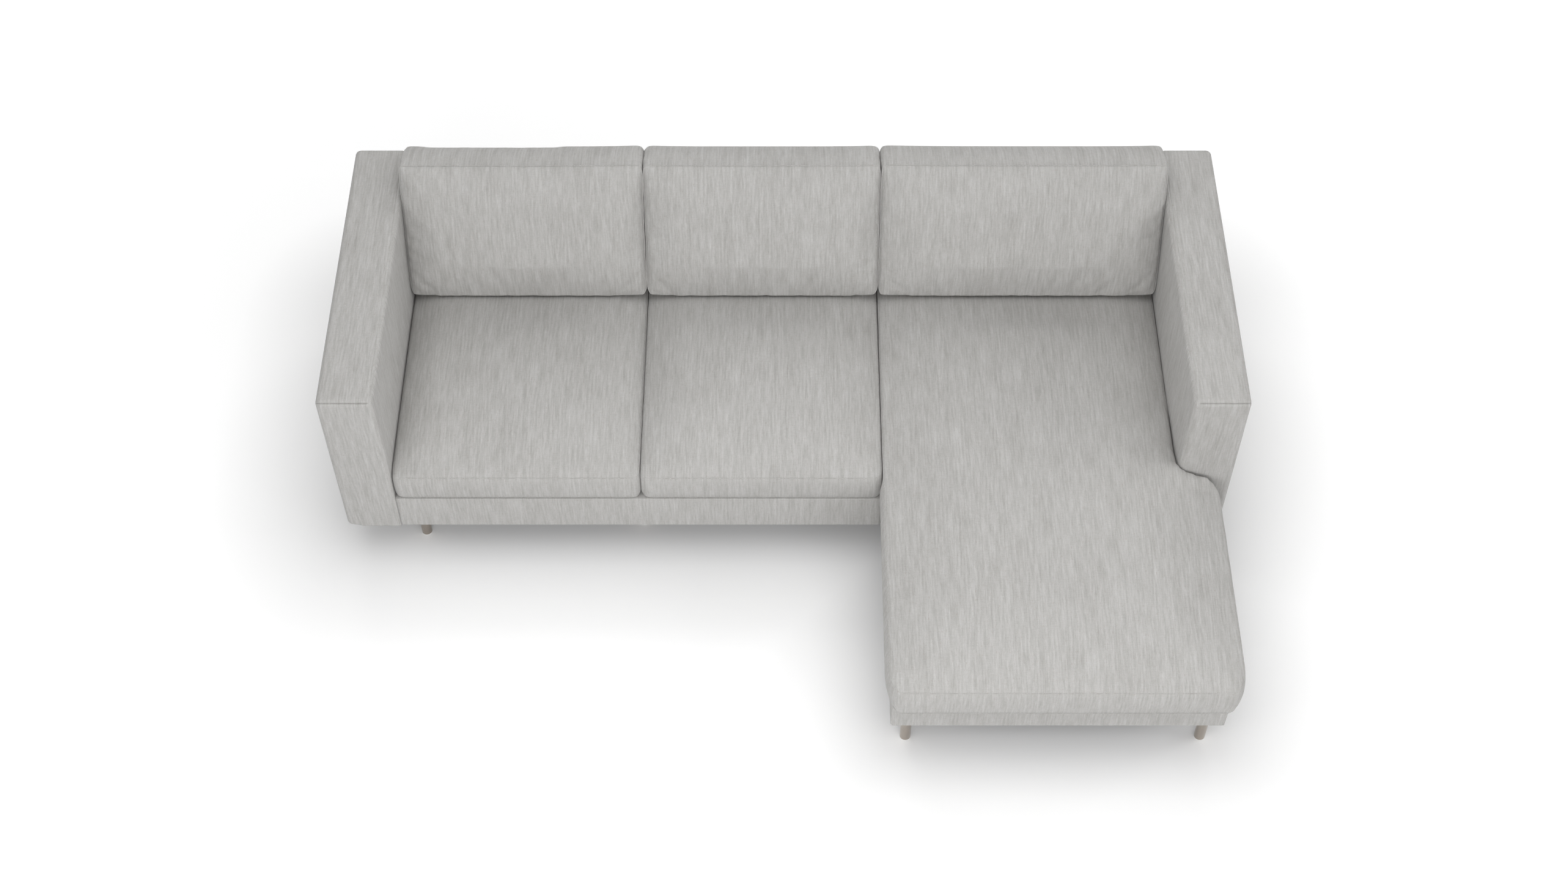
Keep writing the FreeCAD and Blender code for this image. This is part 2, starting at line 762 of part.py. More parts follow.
def chaise_seat_form(inset):
    """Long cushion that steps out in front of the arm."""
    free = chaise_right_x + chaise_cushion_right_overhang
    inner = arm_inner_x - arm_gap
    step_y = wing_rear_y - inset
    corner = wing_corner_radius

    def right(y):
        """Right edge: inside the arm behind it, and out over the wing before it."""
        if y > step_y - 0.01:
            return inner
        past = min((step_y - y) / corner, 1.0)
        return free - corner * (1 - math.sqrt(1 - (1 - past) ** 2))

    def crown_right(y):
        """Right end of the crown, which moves in behind the wing over a run."""
        behind = min(max((y - step_y) / wing_crown_run, 0.0), 1.0)
        return free - (free - inner) * behind

    extra = (step_y + wing_crown_run, step_y + wing_crown_run / 2, step_y, step_y - corner / 20,
             step_y - corner / 3, step_y - corner, base_front_y - 6.0 - chaise_cushion_settle)
    form = cushion_form(cushion_front_y, seat_rear_y - arm_gap, cushion_z, cushion_z + seat_seam_height,
                        seat_crown, seat_crown_at_ends, seat_edge_radius, chaise_left_edge, right, inset,
                        crown_right, extra)
    return form.cut(pressed_by_back(inset))


back_foot_z = back_cushion_z
back_foot_y = back_face_y(back_foot_z)


def stand_up(shape):
    """Turn a flat-lying form up against the back's leaning face."""
    shape.rotate(V(0, 0, 0), V(1, 0, 0), 90 - lean)
    shape.translate(V(0, back_foot_y, back_foot_z))
    return shape


def pressed_by_back(inset):
    """Space over the seat that the back cushions' lower side takes, lowered by an inset."""
    reach = 3 * back_cushion_thickness
    slab = block(-half_width, half_width, -soft_gap - inset, reach, -reach, reach)
    return stand_up(slab)


def back_form(x0, x1, inset):
    """Back cushion: modelled lying on its rear face, then stood up against the back."""
    form = cushion_form(0.0, back_cushion_height, soft_gap, soft_gap + back_cushion_thickness, back_crown,
                        back_crown_at_ends, back_edge_radius, steady(x0), steady(x1), inset)
    return stand_up(form)


def cushion_pair(form):
    """Cover and core of one cushion: the core fills the cover but for the soft gap."""
    cover = form(0.0).cut(form(cushion_cover_thickness))
    core = form(cushion_cover_thickness + soft_gap)
    return cover, core


def build():
    """Make every sub-part and write it."""
    os.makedirs("parts", exist_ok=True)

    sofa_legs = sofa_leg_places()
    chaise_legs = chaise_leg_places()
    right_bolts = bolt_holes()
    left_bolts = [mirrored_x(hole) for hole in right_bolts]
    sections = (
        ("sofa", sofa_rails(), sofa_legs, left_bolts, sofa_springs(), sofa_base_cover(), sofa_deck(),
         sofa_dust_cover(), -arm_inner_x, sofa_right_x, 3),
        ("chaise", chaise_rails(), chaise_legs, right_bolts, chaise_springs(), chaise_base_cover(),
         chaise_deck(), chaise_dust_cover(), chaise_left_x, arm_inner_x, 2),
    )
    for name, rails, legs, bolts, springs, cover, deck, dust, x0, x1, ribs in sections:
        holes = screw_holes(legs.values())
        for node, pieces in rails.items():
            save(node, [cut_all(piece, holes + bolts) for piece in pieces])
        timber = [piece for pieces in rails.values() for piece in pieces]
        blocks = leg_blocks(legs.values(), timber)
        save(name + "_leg_blocks", [cut_all(piece, holes) for piece in blocks])
        save(name + "_seat_springs", springs[0])
        save(name + "_spring_clips", springs[1])
        save(name + "_base_cover", [cover])
        save(name + "_deck_pad", [deck])
        save(name + "_dust_cover", [cut_all(dust, holes)])
        save(name + "_back_frame", back_frame(x0, x1, ribs))
        save(name + "_back_webbing", back_webbing(x0, x1))
        save(name + "_back_cover", [back_cover(x0, x1)])
        for node, place in legs.items():
            save(node, [leg(place)])
        save(name + "_leg_glides", [glide(place) for place in legs.values()])
        save(name + "_leg_screws", leg_screws(legs.values()))

    right_arm = {"frame": arm_frame(), "cover": [arm_cover()], "bolts": arm_bolts()}
    for piece, solids in right_arm.items():
        save("right_arm_" + piece, solids)
        save("left_arm_" + piece, [mirrored_x(solid) for solid in solids])

    connectors = (connector_front_place, connector_rear_place)
    save("sofa_connector_keepers", [keeper(y) for y in connectors])
    save("chaise_connector_hooks", [hook(y) for y in connectors])

    places = {
        "left": (-arm_inner_x + arm_gap, seat_split_left_x),
        "middle": (seat_split_right_x, middle_cushion_x),
        "chaise": (chaise_cushion_x, arm_inner_x - arm_gap),
    }
    for name, (x0, x1) in places.items():
        if name == "chaise":
            seat = cushion_pair(chaise_seat_form)
        else:
            seat = cushion_pair(lambda inset: seat_form(x0, x1, inset))
        save("seat_cushion_cover_" + name, [seat[0]])
        save("seat_cushion_core_" + name, [seat[1]])
        back = cushion_pair(lambda inset: back_form(x0, x1, inset))
        save("back_cushion_cover_" + name, [back[0]])
        save("back_cushion_core_" + name, [back[1]])


build()
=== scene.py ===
# %% [markdown]
# # A corner sofa with a chaise, dressed in Blender
#
# The object is a low sofa with box arms, three loose seat cushions and three loose back cushions, in a light
# warm-grey linen-look cloth, on short round nickel legs. The right-hand third runs forward as a chaise.
#
# The rigid skeleton comes ready from the CAD model, as a fixed frame. This lesson makes everything that is soft
# or sewn around it, gives each surface its finish, and sets up the floor, the light and the camera.

# %% The fixed frame
import json
import math

import bmesh
import bpy
import numpy as np
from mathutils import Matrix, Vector
from mathutils.bvhtree import BVHTree

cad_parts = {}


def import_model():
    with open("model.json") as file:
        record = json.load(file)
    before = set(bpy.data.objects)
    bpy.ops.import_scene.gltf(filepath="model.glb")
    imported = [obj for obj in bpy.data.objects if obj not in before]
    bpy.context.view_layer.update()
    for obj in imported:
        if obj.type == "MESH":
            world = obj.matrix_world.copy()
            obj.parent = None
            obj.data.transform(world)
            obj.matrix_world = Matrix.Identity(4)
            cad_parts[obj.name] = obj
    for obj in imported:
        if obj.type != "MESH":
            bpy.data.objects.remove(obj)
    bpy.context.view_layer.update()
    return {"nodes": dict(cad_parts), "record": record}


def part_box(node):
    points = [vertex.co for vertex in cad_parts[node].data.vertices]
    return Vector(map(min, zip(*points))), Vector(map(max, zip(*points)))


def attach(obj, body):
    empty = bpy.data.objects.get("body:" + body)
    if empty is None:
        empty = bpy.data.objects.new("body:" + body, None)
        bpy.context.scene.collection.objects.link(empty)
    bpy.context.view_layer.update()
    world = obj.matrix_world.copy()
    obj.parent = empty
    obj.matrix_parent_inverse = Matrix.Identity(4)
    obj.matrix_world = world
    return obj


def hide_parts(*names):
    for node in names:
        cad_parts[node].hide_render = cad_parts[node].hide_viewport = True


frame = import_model()

# %% [markdown]
# ## The camera comes first
#
# A photograph fixes where its camera stood. Thirty corners of the sofa were matched with a pinhole camera: it
# stood 3.5 m in front of the sofa's middle and 5 m up, looked down by 53 degrees, and had a 50 mm lens.

# %% Camera
photo_lens = 50.07
photo_place = (0.0015, -3.549, 5.0687)
photo_tilt = math.radians(36.91)

camera_data = bpy.data.cameras.new("photo_camera")
camera_data.lens = photo_lens
camera_data.sensor_width = 36.0
camera_data.sensor_fit = "HORIZONTAL"
camera = bpy.data.objects.new("photo_camera", camera_data)
camera.location = photo_place
camera.rotation_euler = (photo_tilt, 0.0, 0.0)
bpy.context.scene.collection.objects.link(camera)
bpy.context.scene.camera = camera
bpy.context.scene.view_settings.view_transform = "Standard"
print("camera looks down by", round(90 - math.degrees(photo_tilt), 1), "degrees")

# %% [markdown]
# ## Finishes are small graphs of nodes
#
# A finish is a Principled shader with something varying in its colour, roughness and bump. One helper adds a node,
# sets its plain inputs and links the others, so that each finish reads from top to bottom. What is the same all
# over a surface, such as sheen, goes straight on the shader's own socket.

# %% A helper for nodes
def add_node(tree, kind, inputs=None, **settings):
    """Adds a node. inputs maps a socket's name or number to a value, or to an output socket that is linked to it."""
    made = tree.nodes.new(kind)
    for key, value in settings.items():
        setattr(made, key, value)
    for key, value in (inputs or {}).items():
        if isinstance(value, bpy.types.NodeSocket):
            tree.links.new(value, made.inputs[key])
        else:
            made.inputs[key].default_value = value
    return made


def new_finish(name):
    """An empty material with its Principled shader, as (material, tree, shader)."""
    material = bpy.data.materials.new(name)
    material.use_nodes = True
    tree = material.node_tree
    return material, tree, tree.nodes["Principled BSDF"]


def stretched_noise(tree, vector, scale, detail=2.0, roughness=0.5):
    """Noise whose blots are 1/scale metres long on each of the three axes of a vector."""
    scaled = add_node(tree, "ShaderNodeVectorMath", {0: vector, 1: scale}, operation="MULTIPLY")
    noise = add_node(tree, "ShaderNodeTexNoise", {"Vector": scaled.outputs["Vector"], "Scale": 1.0,
                                                  "Detail": detail, "Roughness": roughness})
    return noise.outputs["Fac"]


def weighted_sum(tree, parts):
    """Adds up (socket, weight) pairs: 0.5 + weight * (socket - 0.5) for each pair."""
    total = None
    for socket, weight in parts:
        start = 0.5 - 0.5 * sum(w for _, w in parts) if total is None else total
        total = add_node(tree, "ShaderNodeMath", {0: socket, 1: weight, 2: start},
                         operation="MULTIPLY_ADD").outputs["Value"]
    return total


def blend_colours(tree, share, first, second):
    """Mixes two colours by a share from 0 to 1."""
    mix = add_node(tree, "ShaderNodeMix", {0: share, 6: first, 7: second}, data_type="RGBA")
    return mix.outputs[2]


def bump(tree, height, strength, distance):
    """Turns a height into small dents in the surface's shading."""
    return add_node(tree, "ShaderNodeBump", {"Height": height, "Strength": strength,
                                             "Distance": distance}).outputs["Normal"]


# %% [markdown]
# ## The cloth
#
# The real cover is a linen-look cloth in a light warm grey: its warp yarns swell and thin along their length, so
# long soft streaks run from front to rear on the seats and down the fronts. Weaker crosswise yarns, broad faint
# bands and a few warm flecks lie between them. A picture of cloth would repeat and stop at the seams. Here each
# mesh carries its own cloth coordinates instead, in an attribute named weave: metres across the warp, metres along
# it, and the number of the cut panel, which moves the pattern from panel to panel as scissors do.

# %% The cloth's finish
def linen_look(name, dark, light, fleck):
    """Noises stretched along the warp and the weft, mixed from dark to light, with warm flecks and a fine bump."""
    material, tree, shader = new_finish(name)
    weave = add_node(tree, "ShaderNodeAttribute", attribute_name="weave").outputs["Vector"]
    slubs = stretched_noise(tree, weave, (200.0, 14.0, 31.0))
    yarns = stretched_noise(tree, weave, (480.0, 50.0, 31.0))
    bands = stretched_noise(tree, weave, (55.0, 4.0, 31.0), 1.0)
    weft = stretched_noise(tree, weave, (60.0, 330.0, 31.0))
    specks = stretched_noise(tree, weave, (420.0, 420.0, 31.0), 1.0)
    clouds = stretched_noise(tree, weave, (6.0, 6.0, 31.0), 1.0)
    tone = weighted_sum(tree, [(slubs, 0.95), (yarns, 0.45), (bands, 0.40),
                               (weft, 0.30), (specks, 0.40), (clouds, 0.12)])
    plain = blend_colours(tree, tone, dark, light)
    flecks = stretched_noise(tree, weave, (300.0, 110.0, 57.0), 1.0)
    spots = add_node(tree, "ShaderNodeMapRange", {"Value": flecks, "From Min": 0.62, "From Max": 0.74,
                                                  "To Min": 0.0, "To Max": 0.30})
    colour = blend_colours(tree, spots.outputs["Result"], plain, fleck)
    tree.links.new(colour, shader.inputs["Base Color"])
    warp_bumps = stretched_noise(tree, weave, (1500.0, 260.0, 31.0), 1.0)
    weft_bumps = stretched_noise(tree, weave, (260.0, 1500.0, 31.0), 1.0)
    height = weighted_sum(tree, [(warp_bumps, 0.8), (weft_bumps, 0.8), (slubs, 0.6)])
    tree.links.new(bump(tree, height, 0.35, 0.0006), shader.inputs["Normal"])
    shader.inputs["Roughness"].default_value = 0.92
    shader.inputs["Specular IOR Level"].default_value = 0.15
    shader.inputs["Sheen Weight"].default_value = 0.12
    shader.inputs["Sheen Roughness"].default_value = 0.6
    return material


dark_yarn, light_yarn, warm_fleck = (0.328, 0.318, 0.301, 1), (0.575, 0.571, 0.561, 1), (0.345, 0.280, 0.245, 1)
cloth = linen_look("upholstery_cloth", dark_yarn, light_yarn, warm_fleck)
print("made", cloth.name)

# %% [markdown]
# ## Finishes of what the CAD model already has
#
# The legs, glides, rails, springs and fixings keep their CAD shapes. They only need finishes, and these read Object
# coordinates, which are metres in the sofa's own space.

# %% Finishes of legs, timber and metal
def object_metres(tree):
    """Object coordinates: metres in the sofa's own space."""
    return add_node(tree, "ShaderNodeTexCoord").outputs["Object"]


def drawn_metal(name, colour, roughness, streaks, wear):
    """Bare or plated metal: roughness and tint vary in streaks, given as blots per metre on each axis."""
    material, tree, shader = new_finish(name)
    place = object_metres(tree)
    lines = stretched_noise(tree, place, streaks)
    stains = stretched_noise(tree, place, (40.0, 40.0, 25.0))
    shade = weighted_sum(tree, [(lines, 0.5), (stains, 0.7)])
    dull = tuple(c * (1 - wear) for c in colour) + (1,)
    tree.links.new(blend_colours(tree, shade, dull, colour + (1,)), shader.inputs["Base Color"])
    spread = add_node(tree, "ShaderNodeMapRange", {"Value": shade, "To Min": roughness * 0.75,
                                                   "To Max": roughness * 1.3})
    tree.links.new(spread.outputs["Result"], shader.inputs["Roughness"])
    tree.links.new(bump(tree, lines, 0.06, 0.0002), shader.inputs["Normal"])
    shader.inputs["Metallic"].default_value = 1.0
    return material


def rail_timber(name):
    """Sawn softwood: rings are bands of a stretched noise, with fine fibres on top."""
    material, tree, shader = new_finish(name)
    place = object_metres(tree)
    rings = stretched_noise(tree, place, (6.0, 40.0, 60.0), 3.0)
    fibres = stretched_noise(tree, place, (20.0, 300.0, 500.0), 2.0)
    grain = weighted_sum(tree, [(rings, 1.6), (fibres, 0.6)])
    tree.links.new(blend_colours(tree, grain, (0.46, 0.29, 0.15, 1), (0.80, 0.62, 0.42, 1)),
                   shader.inputs["Base Color"])
    tree.links.new(bump(tree, fibres, 0.3, 0.0006), shader.inputs["Normal"])
    shader.inputs["Roughness"].default_value = 0.7
    return material


def felt(name, dark, light, grain, distance):
    """Matted or coarse cloth: isotropic fibres in two sizes."""
    material, tree, shader = new_finish(name)
    place = object_metres(tree)
    fibres = stretched_noise(tree, place, (grain,) * 3, 3.0, 0.7)
    tufts = stretched_noise(tree, place, (grain / 12,) * 3)
    shade = weighted_sum(tree, [(fibres, 1.2), (tufts, 0.6)])
    tree.links.new(blend_colours(tree, shade, dark, light), shader.inputs["Base Color"])
    tree.links.new(bump(tree, fibres, 0.4, distance), shader.inputs["Normal"])
    shader.inputs["Roughness"].default_value = 0.95
    shader.inputs["Sheen Weight"].default_value = 0.1
    return material


slot_finish = {
    "brushed_leg_steel": drawn_metal("leg_nickel", (0.50, 0.45, 0.40), 0.12, (700.0, 700.0, 9.0), 0.25),
    "spring_steel": drawn_metal("spring_wire", (0.30, 0.30, 0.31), 0.42, (500.0, 20.0, 500.0), 0.35),
    "zinc_fixings": drawn_metal("zinc_plate", (0.62, 0.62, 0.60), 0.32, (180.0, 180.0, 180.0), 0.20),
    "glide_plastic": felt("glide_plastic", (0.72, 0.71, 0.69, 1), (0.84, 0.83, 0.81, 1), 900.0, 0.0001),
    "timber": rail_timber("rail_timber"),
    "webbing": felt("strap_webbing", (0.10, 0.095, 0.09, 1), (0.22, 0.21, 0.20, 1), 700.0, 0.0004),
    "cushion_core": felt("core_foam", (0.78, 0.74, 0.58, 1), (0.90, 0.86, 0.70, 1), 900.0, 0.0005),
}
deck_felt = felt("deck_felt", (0.34, 0.335, 0.325, 1), (0.50, 0.49, 0.48, 1), 1100.0, 0.0006)
dust_cloth = felt("dust_cloth", (0.030, 0.030, 0.032, 1), (0.075, 0.075, 0.078, 1), 1300.0, 0.0003)

for subpart in frame["record"]["subparts"]:
    finish = slot_finish.get(subpart["material_slot"])
    if finish:
        for material_slot in frame["nodes"][subpart["node"]].material_slots:
            material_slot.material = finish
print("finished", len(slot_finish), "slots of the CAD model")

# %% [markdown]
# ## From arrays to pieces
#
# Every sewn piece below is a surface worked out with numpy: a grid of points and the four corner numbers of each
# square. The helpers join the grids, turn all faces outwards, lay the cloth coordinates on the panels and make the
# piece ride on its body.

# %% Helpers for grids of points
def grid_squares(rows, columns, first=0, closed=False):
    """Corner numbers of the squares between rows and columns; closed joins the last column to the first."""
    index = first + np.arange(rows * columns).reshape(rows, columns)
    if closed:
        index = np.hstack([index, index[:, :1]])
    return np.stack([index[:-1, :-1], index[1:, :-1], index[1:, 1:], index[:-1, 1:]], -1).reshape(-1, 4)


def welded(points, squares, grain=1e-5):
    """Merges points that fall on the same grain, and drops squares that lose more than one corner by it."""
    _, first, number = np.unique(np.round(points / grain).astype(np.int64), axis=0, return_index=True,
                                 return_inverse=True)
    squares = number.reshape(-1)[squares]
    distinct = 4 - (np.roll(squares, 1, axis=1) == squares).sum(axis=1)
    return points[first], squares[distinct >= 3]


def face_lists(squares):
    """Squares as lists, with a repeated corner left out so that it becomes a triangle."""
    whole = (np.roll(squares, 1, axis=1) != squares).all(axis=1)
    bent = squares[~whole]
    keep = np.roll(bent, 1, axis=1) != bent
    return squares[whole].tolist() + (bent[keep].reshape(-1, 3).tolist() if len(bent) else [])


def loose_object(name, points, faces):
    """A mesh object at the origin from points and face lists, with all faces turned outwards."""
    mesh = bpy.data.meshes.new(name)
    mesh.from_pydata(points.tolist(), [], faces)
    work = bmesh.new()
    work.from_mesh(mesh)
    bmesh.ops.recalc_face_normals(work, faces=work.faces)
    work.to_mesh(mesh)
    work.free()
    mesh.shade_smooth()
    made = bpy.data.objects.new(name, mesh)
    bpy.context.scene.collection.objects.link(made)
    return made


def read_vectors(collection, key, width=3):
    """Reads one vector of each item of a mesh collection as an array."""
    values = np.empty(len(collection) * width, np.float32)
    collection.foreach_get(key, values)
    return values.reshape(-1, width).astype(float)


def smooth_step(x, start, end):
    """0 before start, 1 after end, and 3t^2 - 2t^3 between them."""
    t = np.clip((x - start) / (end - start), 0.0, 1.0)
    return t * t * (3.0 - 2.0 * t)


# %% [markdown]
# The warp of a sofa's cloth runs down the fronts and sides and from front to rear on everything flat. A face that
# looks left or right therefore counts metres across along Y and metres along with Z; all other faces count across
# along X, and along with Y + Z, which keeps the streaks unbroken where cloth folds over a front edge.

# %% Cloth coordinates
facing_share = 0.72
side_panel, rear_panel = 0.13, 0.29


def lay_cloth(mesh, cut):
    """Writes weave on every face corner: across, along and panel number, by the face's main direction."""
    normals = read_vectors(mesh.polygons, "normal")
    points = read_vectors(mesh.vertices, "co")
    sizes = np.empty(len(mesh.polygons), np.int32)
    mesh.polygons.foreach_get("loop_total", sizes)
    corners = np.empty(len(mesh.loops), np.int32)
    mesh.loops.foreach_get("vertex_index", corners)
    x, y, z = points[corners].T
    facing = np.repeat(normals, sizes, axis=0)
    side = np.abs(facing[:, 0]) > facing_share
    rear = (facing[:, 1] > facing_share) & ~side
    front_y, top_z = points[:, 1].min(), points[:, 2].max()
    across = np.where(side, x + np.sign(facing[:, 0]) * (y - front_y), x)
    along = np.where(side, z + front_y, np.where(rear, y + 2 * top_z - z, y + z))
    panel = cut + side_panel * side * np.sign(facing[:, 0]) + rear_panel * rear
    weave = mesh.attributes.new("weave", "FLOAT_VECTOR", "CORNER")
    weave.data.foreach_set("vector", np.stack([across, along, panel], -1).astype(np.float32).ravel())


def sewn_piece(made, body, cut=0.0, nodes=(), finish=None):
    """Gives a mesh object its cloth, its body and the CAD nodes that it stands for."""
    lay_cloth(made.data, cut)
    made.data.materials.append(finish or cloth)
    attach(made, body)
    if nodes:
        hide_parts(*nodes)
    print(f"{made.name}: {len(made.data.polygons)} faces on {body}")
    return made


# %% [markdown]
# ## Arms
#
# Each arm is a box of boards with padding and cloth pulled over it: crisp but soft edges, faces that swell by two
# or three millimetres, and a plain seam across the front edge of the top. The lower edges are crisp, and so is the
# inner front edge where it meets the base. A cube with a Bevel modifier would be too even. Instead the six faces of
# a box are grids of points, closer together at the edges and at the seam, and each point is pushed out or in by a
# formula.

# %% Box covers
mark_steps = np.array([-6, -4, -2.6, -1.5, -0.7, 0, 0.7, 1.5, 2.6, 4, 6]) * 1e-3
crisp_narrowing = 0.75


def stations(low, high, edge, step, marks=()):
    """Places across a side: even steps in the middle, equal angles in each rounded edge, and close ones at marks."""
    turn = edge * np.tan(np.linspace(0.0, math.pi / 4, 6))
    middle = np.linspace(low + edge, high - edge, max(2, round((high - low - 2 * edge) / step)) + 1)
    near = [mark + mark_steps for mark in marks]
    places = np.clip(np.concatenate([middle, low + edge - turn, high - edge + turn, *near]), low, high)
    return np.unique(places.round(6))


def box_grids(places):
    """The six faces of a box as one set of points and squares; places holds the stations on X, Y and Z."""
    points, squares = [], []
    for axis in range(3):
        first_side, second_side = places[(axis + 1) % 3], places[(axis + 2) % 3]
        for level in (places[axis][0], places[axis][-1]):
            grid = np.empty((len(first_side), len(second_side), 3))
            grid[..., axis] = level
            grid[..., (axis + 1) % 3] = first_side[:, None]
            grid[..., (axis + 2) % 3] = second_side[None, :]
            squares.append(grid_squares(*grid.shape[:2], first=sum(len(p) for p in points)))
            points.append(grid.reshape(-1, 3))
    return np.concatenate(points), np.concatenate(squares)


def soft_box(low, high, edge, step, swell, seams, groove, crisp):
    """Rounded box: each point is its nearest point of the box shrunk by edge, plus edge times the unit vector to it.

    crisp(points) is 0 where the edge is as wide as given and 1 where it is a quarter as wide. Along that unit vector
    n the point then moves out by the swell, which is the sum of n_i^2 * amount_i times the product of (1 - t_j^2)
    over the other two axes, and back by the seams' groove(points, n). seams lists each seam's axis and place, where
    the grid is made finer.
    """
    low, high = np.array(low), np.array(high)
    places = [stations(low[a], high[a], edge, step, [s[1] for s in seams if s[0] == a]) for a in range(3)]
    points, squares = welded(*box_grids(places))
    edge = edge * (1 - crisp_narrowing * crisp(points))[:, None]
    inside = np.clip(points, low + edge, high - edge)
    out = points - inside
    out /= np.linalg.norm(out, axis=1)[:, None]
    t = (points - (low + high) / 2) / ((high - low) / 2)
    level = 1.0 - t ** 2
    others = np.stack([level[:, 1] * level[:, 2], level[:, 0] * level[:, 2], level[:, 0] * level[:, 1]], -1)
    amount = np.where(out > 0, np.array(swell[1]), np.array(swell[0]))
    move = (out ** 2 * amount * others).sum(axis=1)
    move -= groove(points, out)
    return inside + out * edge + out * move[:, None], squares


# %% The two arms
arm_edge, arm_step = 0.016, 0.012
seam_width, seam_depth = 0.0016, 0.0036
inner_seam_inset, inner_seam_share = 0.0135, 0.4
base_zone, outer_zone = (0.02, 0.05), (0.10, 0.13)
seat_height_zone, foot_zone = (0.27, 0.34), (0.016, 0.035)
outer_swell, rear_swell, front_swell, top_swell = 0.003, 0.002, 0.0025, 0.003


def arm_cover(name, node, body, side, cut):
    """An arm's cover; side is -1 for the left arm and 1 for the right one."""
    low, high = (np.array(corner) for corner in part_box(node))
    inner_x = low[0] if side > 0 else high[0]

    def groove(points, out):
        """depth * exp(-(gap / width)^2): on the 45-degree line of the top's front edge, and along its inner edge."""
        inward = smooth_step(side * (points[:, 0] - inner_x), 0.004, 0.018) * np.clip(out[:, 2] * 1.6, 0, 1)
        front_gap = (out[:, 2] + out[:, 1]) * arm_edge / math.sqrt(2)
        inner_gap = points[:, 0] - inner_x - side * inner_seam_inset
        behind = np.clip(out[:, 2], 0, 1) * smooth_step(points[:, 1], low[1] + 0.02, low[1] + 0.10)
        behind *= inner_seam_share
        return seam_depth * (inward * np.exp(-(front_gap / seam_width) ** 2)
                             + behind * np.exp(-(inner_gap / seam_width) ** 2))

    def crisp(points):
        """The lower edges, apart from the outer one, and the inner front edge below the seat, beside the base."""
        from_inner = side * (points[:, 0] - inner_x)
        beside_base = 1 - smooth_step(from_inner, *base_zone)
        below_seat = (1 - smooth_step(points[:, 2], *seat_height_zone)) * beside_base
        bottom = 1 - smooth_step(points[:, 2], low[2] + foot_zone[0], low[2] + foot_zone[1])
        return np.maximum(bottom * (1 - smooth_step(from_inner, *outer_zone)), below_seat)

    swell = ([0.0 if side > 0 else outer_swell, front_swell, 0.0],
             [outer_swell if side > 0 else 0.0, rear_swell, top_swell])
    seams = [(0, inner_x + side * inner_seam_inset), (1, low[1]), (2, high[2])]
    points, squares = soft_box(low, high, arm_edge, arm_step, swell, seams, groove, crisp)
    made = loose_object(name, points, face_lists(squares))
    sewn_piece(made, body, cut, [node])
    return made


arm_cover("left_arm_upholstery", "left_arm_cover", "sofa_section", -1, 1.0)
arm_cover("right_arm_upholstery", "right_arm_cover", "chaise_section", 1, 2.0)

# %% [markdown]
# ## Bases, decks and backs
#
# The base of each section is cloth pulled over the rails: a low slab with a rounded outline. A slab, and later a
# cushion, is an outline carried up a side profile: each ring of the surface is the outline moved in or out by an
# offset, and shrunk towards a hub by a share that runs to 0 in the middle of the underside and of the top.

# %% Outlines and slabs
def unit(vectors):
    """Vectors divided by their lengths."""
    return vectors / np.maximum(np.linalg.norm(vectors, axis=-1, keepdims=True), 1e-12)


def along_path(path):
    """Unit tangents of a closed path."""
    return unit(np.roll(path, -1, axis=0) - np.roll(path, 1, axis=0))


def outward(outline):
    """Outward unit normals of an outline that runs counter-clockwise: its tangent turned by a right angle."""
    tangent = along_path(outline)
    return np.stack([tangent[:, 1], -tangent[:, 0]], -1)


def rounded_outline(corners, rounds, step):
    """Walks round a plan: corner k becomes the conic ((1-t)^2 A + s t(1-t) C + t^2 B) / ((1-t)^2 + s t(1-t) + t^2).

    A and B lie rounds[k] = (before, after) metres from the corner C on its two sides, and s is the root of 2, so a
    square corner gives a quarter of an ellipse. The line is then divided into even steps.
    """
    corners = np.array(corners, float)
    before = corners + unit(np.roll(corners, 1, axis=0) - corners) * np.array([r[0] for r in rounds])[:, None]
    after = corners + unit(np.roll(corners, -1, axis=0) - corners) * np.array([r[1] for r in rounds])[:, None]
    t = np.linspace(0.0, 1.0, 15)[None, :, None]
    shares = (1 - t) ** 2, math.sqrt(2) * t * (1 - t), t ** 2
    arcs = (shares[0] * before[:, None] + shares[1] * corners[:, None] + shares[2] * after[:, None]) / sum(shares)
    line = arcs.reshape(-1, 2)
    line = np.vstack([line, line[:1]])
    walked = np.concatenate([[0.0], np.cumsum(np.linalg.norm(np.diff(line, axis=0), axis=1))])
    even = np.linspace(0.0, walked[-1], round(walked[-1] / step), endpoint=False)
    return np.stack([np.interp(even, walked, line[:, k]) for k in (0, 1)], -1)


def carried_outline(outline, hub, share, offset, height):
    """Point (ring, place) = hub + share * (outline + offset * outward - hub), at that ring's height."""
    ring = outline[None] + offset[:, None, None] * outward(outline)[None]
    plan = np.array(hub) + share[:, None, None] * (ring - np.array(hub))
    heights = np.broadcast_to(height[:, None, None], plan.shape[:2] + (1,))
    points = np.concatenate([plan, heights], -1)
    squares = grid_squares(*points.shape[:2], closed=True)
    return welded(points.reshape(-1, 3), squares)


